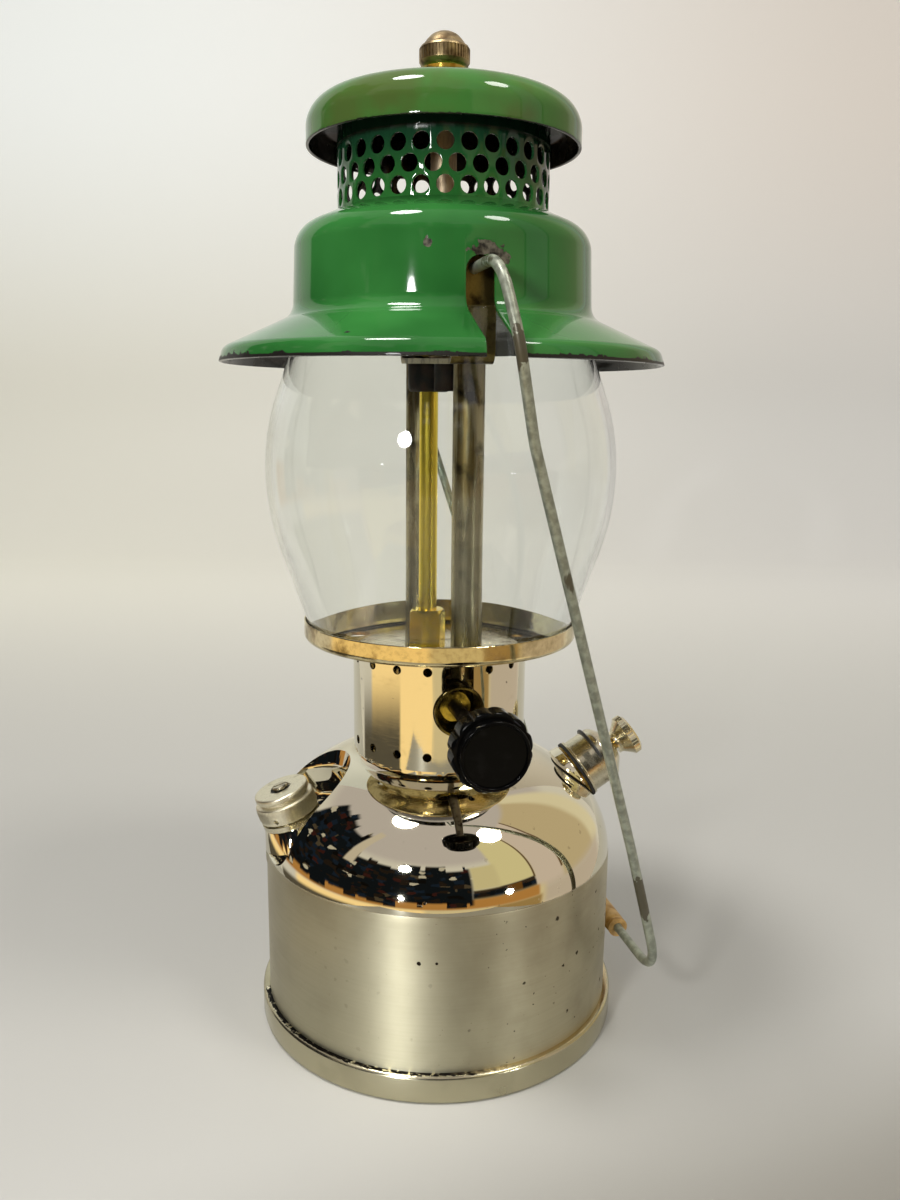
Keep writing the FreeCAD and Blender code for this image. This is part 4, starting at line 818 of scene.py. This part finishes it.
def buildBand():
    band = {"radius": 33.9, "sheet": 0.8, "low": 274.3, "high": 308.3, "holeRadius": 2.6, "holes": 30,
            "firstRow": 278.6, "rowPitch": 5.9, "rows": 3, "barLength": 80}
    inside = band["radius"] - band["sheet"]
    piece = turnPiece("ventBand", [(inside, band["low"]), (band["radius"], band["low"]),
                                   (band["radius"], band["high"]), (inside, band["high"]),
                                   (inside, band["low"])], 180)
    bars = []
    for row in range(band["rows"]):
        height = band["firstRow"] + row * band["rowPitch"]
        for i in range(band["holes"] // 2):
            turn = 2 * pi * (i + 0.5 * (row % 2)) / band["holes"]
            across = (sin(turn), -cos(turn), 0)
            bars.append(addCylinder("bar", band["holeRadius"], band["barLength"], (0, 0, height), across, 28))
    for bar in bars:
        combine(piece, bar, "DIFFERENCE")
    softenEdges(piece, 0.22, 2, 50)
    finishPiece(piece, "ventilator", finish["green"], ["vent_band"], 40)
    blackenInside(piece, lambda face: outwardShare(face) < -0.8)


def buildCap():
    cap = {"rim": 43.7, "rimHeight": 294.9, "side": 5.1, "corner": 9.0, "dome": 120.0, "sheet": 1.0,
           "hole": 2.7, "domeCentre": 194.63}
    cornerHeight = cap["rimHeight"] + cap["side"]
    meet = acos((cap["rim"] - cap["corner"]) / (cap["dome"] - cap["corner"]))
    corner = arcRun((cap["rim"] - cap["corner"], cornerHeight), cap["corner"], 0, degrees(meet), 16)
    top = degrees(acos(cap["hole"] / cap["dome"]))
    crown = arcRun((0, cap["domeCentre"]), cap["dome"], degrees(meet), top, 16)
    side = [(cap["rim"], height) for height in (cap["rimHeight"], cap["rimHeight"] + 1, cornerHeight - 1)]
    piece = turnPiece("ventCap", side + corner + crown[1:], 192)
    thicken(piece, cap["sheet"])
    softenEdges(piece, 0.35, 3, 50)
    finishPiece(piece, "ventilator", finish["green"], ["vent_cap"], 40)
    blackenInside(piece, facesInward)


buildHood()
buildBand()
buildCap()
print("ventilator built")


# Ball nut, with a fluted rim

def buildNut():
    nut = {"line": [(0, 314.6), (5.6, 314.6), (5.8, 317.2), (6.4, 319.5), (7.3, 320.0), (8.0, 321.0),
                    (8.0, 324.7), (7.5, 325.5), (6.7, 326.0), (5.9, 327.2), (4.4, 328.8), (2.3, 329.85),
                    (0, 330.05)],
           "bends": [0, 0, 1.5, 0.6, 0.4, 0.3, 0.3, 0.3, 0.5, 3, 4, 3, 0],
           "rimLow": 321.2, "rimHigh": 324.5, "rimInside": 7.8, "flutes": 44, "groove": 0.32, "land": 0.09}
    piece = turnPiece("ballNut", roundOff(nut["line"], nut["bends"], 3), nut["flutes"] * 4)
    turnStep = 2 * pi / nut["flutes"]
    # every other pair of faces on the rim is sunk for a flute
    for face in piece.data.polygons:
        turn = atan2(face.center.y, face.center.x) % turnStep
        onRim = nut["rimLow"] * mm < face.center.z < nut["rimHigh"] * mm
        onRim = onRim and face.center.xy.length > nut["rimInside"] * mm
        face.select = onRim and turn < turnStep / 2
    for edge in piece.data.edges:
        edge.select = False
    for vert in piece.data.vertices:
        vert.select = False
    bpy.ops.object.mode_set(mode="EDIT")
    bpy.ops.mesh.select_mode(type="FACE")
    bpy.ops.mesh.inset(thickness=nut["land"] * mm, depth=-nut["groove"] * mm)
    bpy.ops.mesh.select_mode(type="VERT")
    bpy.ops.object.mode_set(mode="OBJECT")
    finishPiece(piece, "ball_nut", finish["nut"], ["ball_nut"], 30)


# Filler cap: knurled rim, disc top with a recess for its screw, and a vent hole low on the rim

def buildFillerCap():
    cap = {"spot": (-53.1, 0, 75.4), "lean": 18.5,
           "foot": [(0, 6.8), (8.88, 6.8), (8.88, 0.3), (10.3, 0.3)], "footBends": [0, 0, 0, 0.3],
           "top": [(10.3, 5.9), (9.9, 6.3), (8.8, 6.7), (8.8, 7.5), (9.5, 7.9), (9.5, 9.8), (3.5, 9.8),
                   (3.3, 9.35), (0, 9.35)], "topBends": [0.2, 0.2, 0.2, 0.2, 0.3, 0.7, 0.25, 0, 0],
           "rim": 10.2, "low": 0.95, "rows": 6, "row": 0.77, "steps": 88, "peak": 10.47, "valley": 10.1,
           "vent": 0.8, "ventHeight": 2.0, "ventTurn": 62.0, "ventOut": 10, "ventLength": 6}
    heights = [cap["low"] + cap["row"] * i for i in range(cap["rows"] + 1)]
    side = [(cap["rim"], height) for height in heights]
    line = cap["foot"] + side + cap["top"]
    bends = cap["footBends"] + [0] * len(side) + cap["topBends"]
    piece = turnPiece("fillerCap", roundOff(line, bends, 4), cap["steps"])
    # the knurl: every other point of the rim stands out, and the ones between are sunk
    for parity, radius in ((0, cap["peak"]), (1, cap["valley"])):
        freshStart()
        for face in piece.data.polygons:
            face.select = False
        for edge in piece.data.edges:
            edge.select = False
        for vert in piece.data.vertices:
            row = round((vert.co.z / mm - cap["low"]) / cap["row"])
            step = round(atan2(vert.co.y, vert.co.x) / (2 * pi) * cap["steps"])
            onRim = abs(vert.co.xy.length - cap["rim"] * mm) < 0.02 * mm and 0 < row < cap["rows"]
            vert.select = onRim and (row + step) % 2 == parity
        pickOnly(piece)
        bpy.ops.object.mode_set(mode="EDIT")
        share = radius / cap["rim"]
        bpy.ops.transform.resize(value=(share, share, 1), center_override=(0, 0, 0))
        bpy.ops.object.mode_set(mode="OBJECT")
    aside = (-cos(radians(cap["ventTurn"])), -sin(radians(cap["ventTurn"])), 0)
    ventSpot = (aside[0] * cap["ventOut"], aside[1] * cap["ventOut"], cap["ventHeight"])
    vent = addCylinder("vent", cap["vent"], cap["ventLength"], ventSpot, aside, 24)
    combine(piece, vent, "DIFFERENCE")
    out = (-sin(radians(cap["lean"])), 0, cos(radians(cap["lean"])))
    standAt(piece, cap["spot"], out)
    finishPiece(piece, "filler_cap", finish["cap"], ["filler_cap"], 25)


buildNut()
buildFillerCap()
print("nut and filler cap built")


# Bail: galvanised wire, and its sleeve

def buildBail():
    bail = {"wire": 1.6,
            "leg": [(0, -38.1, 254.4), (0, -67.5, 254.4), (3.6, -75.0, 233.1), (10.3, -69.5, 205.5),
                    (51.0, -55.5, 76.0), (65.2, -51.5, 26.0)],
            "bends": [0, 14, 22, 45, 60, 19], "stepsPerRadian": 12, "fewestSteps": 4}
    far = [(x, -y, z) for x, y, z in bail["leg"]][::-1]
    points = [Vector(p) for p in bail["leg"] + far]
    bends = bail["bends"] + bail["bends"][::-1]
    path = []
    for i, here in enumerate(points):
        if bends[i] == 0:
            path.append(here)
            continue
        back = (points[i - 1] - here).normalized()
        onward = (points[i + 1] - here).normalized()
        half = back.angle(onward) / 2
        centre = here + (back + onward).normalized() * bends[i] / sin(half)
        first = here + back * bends[i] / tan(half) - centre
        last = here + onward * bends[i] / tan(half) - centre
        steps = max(bail["fewestSteps"], int(first.angle(last) * bail["stepsPerRadian"]))
        for j in range(steps + 1):
            path.append(centre + bends[i] * first.slerp(last, j / steps))
    freshStart()
    bpy.ops.curve.primitive_bezier_curve_add()
    wire = bpy.context.object
    wire.name = "bailWire"
    curve = wire.data
    curve.name = "bailWire"
    curve.dimensions = "3D"
    curve.splines.clear()
    run = curve.splines.new("POLY")
    run.points.add(len(path) - 1)
    for point, spot in zip(run.points, path):
        point.co = (*(spot * mm), 1)
    curve.bevel_depth = bail["wire"] * mm
    curve.bevel_resolution = 6
    curve.use_fill_caps = True
    pickOnly(wire)
    bpy.ops.object.convert(target="MESH")
    wire = bpy.context.object
    wire.location = (0, 0, 0)
    softenEdges(wire, 0.4, 2, 60)
    finishPiece(wire, "bail", finish["zinc"], ["bail_wire"], 50)


buildBail()
print("bail built")


# Globe

def buildGlobe():
    globe = {"low": 137.9, "top": 243.9, "belly": 58.6, "bellyHeight": 194.5, "lowArc": 85.0,
             "lowDrop": 28.0, "highArc": 72.0, "highRise": 23.5, "glass": 2.0, "lip": 0.9}
    lowTurn = -degrees(asin(globe["lowDrop"] / globe["lowArc"]))
    highTurn = degrees(asin(globe["highRise"] / globe["highArc"]))
    sides = []
    for inset in (0, globe["glass"]):
        low = arcRun((globe["belly"] - globe["lowArc"], globe["bellyHeight"]), globe["lowArc"] - inset,
                     lowTurn, 0, 16)
        high = arcRun((globe["belly"] - globe["highArc"], globe["bellyHeight"]), globe["highArc"] - inset,
                      0, highTurn, 14)
        footRun = low[0][1] - globe["low"]
        foot = (low[0][0] - footRun * tan(radians(-lowTurn)), globe["low"])
        topRun = globe["top"] - high[-1][1]
        top = (high[-1][0] - topRun * tan(radians(highTurn)), globe["top"])
        sides.append([foot] + low + high[1:] + [top])
    outer, inner = sides
    line = outer + inner[::-1] + [outer[0]]
    piece = turnPiece("globe", line, 192)
    softenEdges(piece, globe["lip"], 4, 60)
    finishPiece(piece, "fount", finish["glass"], ["globe"], 50)


buildGlobe()
print("globe built")


# Floor, backdrop, light and camera

def buildStage():
    stage = {"floor": "BFBDB7", "paintedFloorShade": "8C887F", "wall": "D2D0CA", "glowLowLeft": "A29F90",
             "glowLowRight": "93908B", "glowHighLeft": "C1C4C1", "glowHighRight": "A4998E",
             "wallBehind": 1260.0, "half": 12000.0, "front": 12000.0, "bend": 260.0, "height": 2200.0,
             "turn": -12.8, "behindAxis": (0.22, 0.975), "sideAxis": (0.9751, -0.2216),
             "cornerAxis": (0.13, -0.99), "cornerFrom": 0.055, "cornerTo": 0.155,
             "leftEnd": -0.3, "rightEnd": 0.95, "glowNear": 0.05, "glowFar": 0.9, "glowLow": 180.0,
             "glowHigh": 720.0, "wallFrom": 2.0, "wallTo": 420.0,
             "nearEdge": 0.3, "sideEdge": 0.19, "spread": 0.75, "spreadFrom": 0.03}
    freshStart()
    bpy.ops.mesh.primitive_plane_add(size=1)
    floor = bpy.context.object
    floor.name = "floor"
    back = stage["wallBehind"]
    bend = stage["bend"]
    line = [(-stage["front"], 0), (back - bend, 0)]
    line += [(back - bend + bend * sin(radians(a)), bend - bend * cos(radians(a))) for a in range(6, 91, 6)]
    line += [(back, stage["height"])]
    bpy.ops.object.mode_set(mode="EDIT")
    bpy.ops.mesh.merge(type="CENTER")
    bpy.ops.transform.translate(value=(-stage["half"] * mm, line[0][0] * mm, 0))
    here = line[0]
    for point in line[1:]:
        step = (0, (point[0] - here[0]) * mm, (point[1] - here[1]) * mm)
        bpy.ops.mesh.extrude_region_move(TRANSFORM_OT_translate={"value": step})
        here = point
    bpy.ops.mesh.select_all(action="SELECT")
    bpy.ops.mesh.extrude_region_move(TRANSFORM_OT_translate={"value": (2 * stage["half"] * mm, 0, 0)})
    bpy.ops.object.mode_set(mode="OBJECT")
    # the sweep is turned to face the camera
    floor.rotation_euler = (0, 0, radians(stage["turn"]))
    pickOnly(floor)
    bpy.ops.object.transform_apply(location=True, rotation=True, scale=True)
    bpy.ops.object.shade_smooth()
    material, tree, sockets, spot = startMaterial("floor paper", Roughness=0.55)
    place = useGroup(tree, "place", {"Vector": spot})
    parts = addNode(tree, "ShaderNodeSeparateXYZ", {"Vector": spot}).outputs
    up = rampMask(tree, place["Height"], stage["wallFrom"], stage["wallTo"])
    # painted shade: the floor's colour darkens towards the front right, and the wall's painted glow dims
    # towards the right
    corner = reachAlong(tree, parts, stage["cornerAxis"])
    cornerShade = rampMask(tree, corner, stage["cornerFrom"], stage["cornerTo"])
    base = mixColour(tree, cornerShade, rgb(stage["floor"]), rgb(stage["paintedFloorShade"]))
    tree.links.new(mixColour(tree, up, base, rgb(stage["wall"])), sockets["Base Color"])
    across = rampMask(tree, parts["X"], stage["leftEnd"], stage["rightEnd"])
    behind = reachAlong(tree, parts, stage["behindAxis"])
    far = rampMask(tree, behind, stage["glowNear"], stage["glowFar"])
    high = rampMask(tree, place["Height"], stage["glowLow"], stage["glowHigh"])
    path = addNode(tree, "ShaderNodeLightPath").outputs
    looked = calc(tree, "MAXIMUM", path["Is Camera Ray"], path["Is Transmission Ray"])
    seen = calc(tree, "MAXIMUM", looked, path["Is Glossy Ray"])
    # painted light: the far floor and the wall glow for the eye and for mirrors, brighter on the left and
    # higher up
    glowLow = mixColour(tree, across, rgb(stage["glowLowLeft"]), rgb(stage["glowLowRight"]))
    glowHigh = mixColour(tree, across, rgb(stage["glowHighLeft"]), rgb(stage["glowHighRight"]))
    glow = mixColour(tree, high, glowLow, glowHigh)
    glow = mixColour(tree, times(tree, seen, far), rgb("000000"), glow)
    tree.links.new(glow, sockets["Emission Color"])
    sockets["Emission Strength"].default_value = 1.0
    # metal sees the room past the sweep's near part, while the eye sees the sweep whole
    aside = calc(tree, "ABSOLUTE", reachAlong(tree, parts, stage["sideAxis"]))
    past = calc(tree, "MAXIMUM", minus(tree, behind, stage["spreadFrom"]), 0.0)
    widening = times(tree, past, stage["spread"])
    outside = calc(tree, "GREATER_THAN", aside, plus(tree, widening, stage["sideEdge"]))
    outside = calc(tree, "MAXIMUM", outside, calc(tree, "LESS_THAN", behind, -stage["nearEdge"]))
    away = times(tree, outside, minus(tree, 1.0, looked))
    clear = addNode(tree, "ShaderNodeBsdfTransparent")
    either = addNode(tree, "ShaderNodeMixShader", {0: away, 1: tree.nodes["Principled BSDF"].outputs[0],
                                                   2: clear.outputs[0]})
    tree.links.new(either.outputs[0], tree.nodes["Material Output"].inputs["Surface"])
    floor.data.materials.append(material)


def addLamp(name, kind, spot, aim, power, size, colour=(1, 1, 1)):
    freshStart()
    bpy.ops.object.light_add(type=kind, location=[v * mm for v in spot])
    lamp = bpy.context.object
    lamp.name = name
    lamp.data.name = name
    lamp.data.energy = power
    lamp.data.color = colour
    if kind == "AREA":
        lamp.data.shape = "DISK"
        lamp.data.size = size * mm
    else:
        lamp.data.shadow_soft_size = size * mm / 2
    lamp.rotation_euler = (Vector(spot) - Vector(aim)).to_track_quat("Z", "Y").to_euler()
    return lamp


def within(tree, value, low, high, soft):
    # 1 between two values and 0 outside them
    return times(tree, smoothRamp(tree, value, low - soft, low + soft),
                 smoothRamp(tree, value, high + soft, high - soft))


def buildRoom(tree):
    # what polished metal mirrors: soft patches of a room, each by its turn from the front and its rise,
    # in degrees
    room = {"plain": "E1DCD4", "side": (0.9751, -0.2216), "front": (-0.2216, -0.9751),
            "thingSize": (0.2, 0.32), "things": "12161A",
            "otherThings": [(0.6, "182230"), (0.72, "241C16"), (0.84, "381C18"), (0.88, "100E0C"),
                            (0.95, "4E4436"), (0.975, "C4BCAC")],
            "topSize": 0.09, "topRise": 8.0}
    patches = [
        {"colour": "C8C0BF", "turn": (-200, 200), "rise": (38, 100), "soft": 5},
        {"colour": "DACAC0", "turn": (64, 86), "rise": (-6, 62), "soft": 1},
        {"colour": "CDBB98", "turn": (86, 128), "rise": (-6, 62), "soft": 2},
        {"colour": "6A5234", "turn": (85, 86.6), "rise": (4, 62), "soft": 0.5},
        {"colour": "EADFC0", "turn": (122, 134), "rise": (-6, 62), "soft": 3},
        {"colour": "E2D7A8", "turn": (38, 64), "rise": (8, 60), "soft": 2},
        {"colour": "3A2E24", "turn": (22, 64), "rise": (-3, 9), "soft": 1},
        {"colour": "D8CCA0", "turn": (22, 40), "rise": (9, 34), "soft": 2},
        {"colour": "clutter", "turn": (22, 64), "rise": (-3, 10), "soft": 0.8},
        {"colour": "6E4A20", "turn": (44, 54), "rise": (0, 8), "soft": 0.6},
        {"colour": "6A5234", "turn": (63, 64.4), "rise": (8, 60), "soft": 0.5},
        {"colour": "CDBFB2", "turn": (66, 128), "rise": (-95, -4), "soft": 5},
        {"colour": "E4D2A8", "turn": (-60, 70), "rise": (-95, -2), "soft": 4},
        {"colour": "F4E8D0", "turn": (24, 84), "rise": (-95, -23), "soft": 6, "gain": 1.2},
        {"colour": "A88A58", "turn": (36, 68), "rise": (-22, -11), "soft": 2},
        {"colour": "FFDFA2", "turn": (-100, -8), "rise": (-60, -11), "soft": 3, "gain": 1.25},
        {"colour": "C08A4A", "turn": (-130, 66), "rise": (-11, -1), "soft": 1.5},
        {"colour": "5C564A", "turn": (-118, -52), "rise": (-95, -17), "soft": 2},
        {"colour": "clutter", "turn": (-118, 22), "rise": (-3, 38), "soft": 1.5},
        {"colour": "clutter", "turn": (-118, -68), "rise": (30, 56), "soft": 1.5},
        {"colour": "D2C6B4", "turn": (-68, -60), "rise": (24, 60), "soft": 1},
    ]
    direction = addNode(tree, "ShaderNodeTexCoord").outputs["Generated"]
    parts = addNode(tree, "ShaderNodeSeparateXYZ", {"Vector": direction}).outputs
    side = reachAlong(tree, parts, room["side"])
    front = reachAlong(tree, parts, room["front"])
    turn = times(tree, calc(tree, "ARCTAN2", side, front), degrees(1))
    rise = times(tree, calc(tree, "ARCSINE", parts["Z"], 0.0), degrees(1))
    # dark shelves with odd things on them
    grid = addNode(tree, "ShaderNodeCombineXYZ", {"X": times(tree, turn, room["thingSize"][0]),
                                                  "Y": times(tree, rise, room["thingSize"][1])}).outputs[0]
    cells = addNode(tree, "ShaderNodeTexVoronoi", {"Vector": grid, "Scale": 1.0},
                    distance="CHEBYCHEV").outputs["Color"]
    tint = addNode(tree, "ShaderNodeSeparateColor", {"Color": cells}).outputs["Red"]
    clutter = rgb(room["things"])
    for share, colour in room["otherThings"]:
        clutter = mixColour(tree, calc(tree, "GREATER_THAN", tint, share), clutter, rgb(colour))
    # their tops are uneven
    row = addNode(tree, "ShaderNodeCombineXYZ", {"X": times(tree, turn, room["topSize"])}).outputs[0]
    tops = addNode(tree, "ShaderNodeTexVoronoi", {"Vector": row, "Scale": 1.0},
                   distance="CHEBYCHEV").outputs["Color"]
    top = addNode(tree, "ShaderNodeSeparateColor", {"Color": tops}).outputs["Green"]
    skyline = plus(tree, rise, times(tree, top, room["topRise"]))
    colour = rgb(room["plain"])
    for patch in patches:
        height = skyline if patch["colour"] == "clutter" else rise
        mask = within(tree, height, *patch["rise"], patch["soft"])
        mask = times(tree, mask, within(tree, turn, *patch["turn"], patch["soft"]))
        over = clutter if patch["colour"] == "clutter" else rgb(patch["colour"])
        if "gain" in patch:
            over = tuple(v * patch["gain"] for v in over[:3]) + (1,)
        colour = mixColour(tree, mask, colour, over)
    return colour, side, parts["Z"]   # also how far right and how high a direction points


def buildLight():
    light = {"aim": (0, 0, 170), "wallAim": (0, 0, 22), "wallAngle": 5.4, "wallSoft": 0.35,
             "wallColour": (0.93, 0.96, 1), "backdrop": "DED9D0", "above": "A4A4A2", "left": "6C6C6B",
             "right": "2E2E2D", "leftEnd": -0.4, "rightEnd": 0.7, "aboveFrom": 0.1, "aboveTo": 0.55}
    addLamp("near lamp", "AREA", (-238.9, -351.8, 312.0), light["aim"], 0.8, 60, (1, 1, 0.99))
    # two narrow spots give the fount's wall its bright streaks
    for name, spot, power, size in (("low spot", (-901, -1322, 60), 62.0, 90),
                                    ("right spot", (852, -1354, 60), 48.0, 240)):
        low = addLamp(name, "SPOT", spot, light["wallAim"], power, size, light["wallColour"])
        low.data.spot_size = radians(light["wallAngle"])
        low.data.spot_blend = light["wallSoft"]
    addLamp("left ceiling lamp", "AREA", (-378, -65, 1426), light["aim"], 9.6, 320, (1, 0.99, 0.97))
    addLamp("right ceiling lamp", "AREA", (509, -502, 1284), light["aim"], 5.2, 320, (1, 0.98, 0.94))
    world = bpy.data.worlds.new("room")
    bpy.context.scene.world = world
    world.use_nodes = True
    tree = world.node_tree
    background = tree.nodes["Background"]
    path = addNode(tree, "ShaderNodeLightPath").outputs
    seen = calc(tree, "MAXIMUM", path["Is Camera Ray"], path["Is Transmission Ray"])
    # matt things get soft light, mostly from above and the left, the camera a pale wall, and glossy
    # things the room
    room, side, high = buildRoom(tree)
    rightward = rampMask(tree, side, light["leftEnd"], light["rightEnd"])
    above = rampMask(tree, high, light["aboveFrom"], light["aboveTo"])
    level = mixColour(tree, rightward, rgb(light["left"]), rgb(light["right"]))
    soft = mixColour(tree, above, level, rgb(light["above"]))
    colour = mixColour(tree, seen, soft, rgb(light["backdrop"]))
    # light that only passed the globe isn't a reflection
    mirrored = times(tree, path["Is Glossy Ray"], calc(tree, "GREATER_THAN", path["Glossy Depth"], 0.5))
    colour = mixColour(tree, mirrored, colour, room)
    tree.links.new(colour, background.inputs["Color"])
    background.inputs["Strength"].default_value = 1.0


def buildCamera():
    camera = {"spot": (-75.79, -333.59, 216.21), "turn": (78.895, -0.594, -13.267), "lens": 30.11}
    freshStart()
    bpy.ops.object.camera_add(location=[v * mm for v in camera["spot"]],
                              rotation=[radians(v) for v in camera["turn"]])
    made = bpy.context.object
    made.data.sensor_fit = "VERTICAL"
    made.data.sensor_height = 36
    made.data.lens = camera["lens"]
    made.data.clip_start = 0.01
    made.data.clip_end = 20
    bpy.context.scene.camera = made


buildStage()
buildLight()
buildCamera()
bpy.context.scene.view_settings.view_transform = "Standard"

print("scene built")
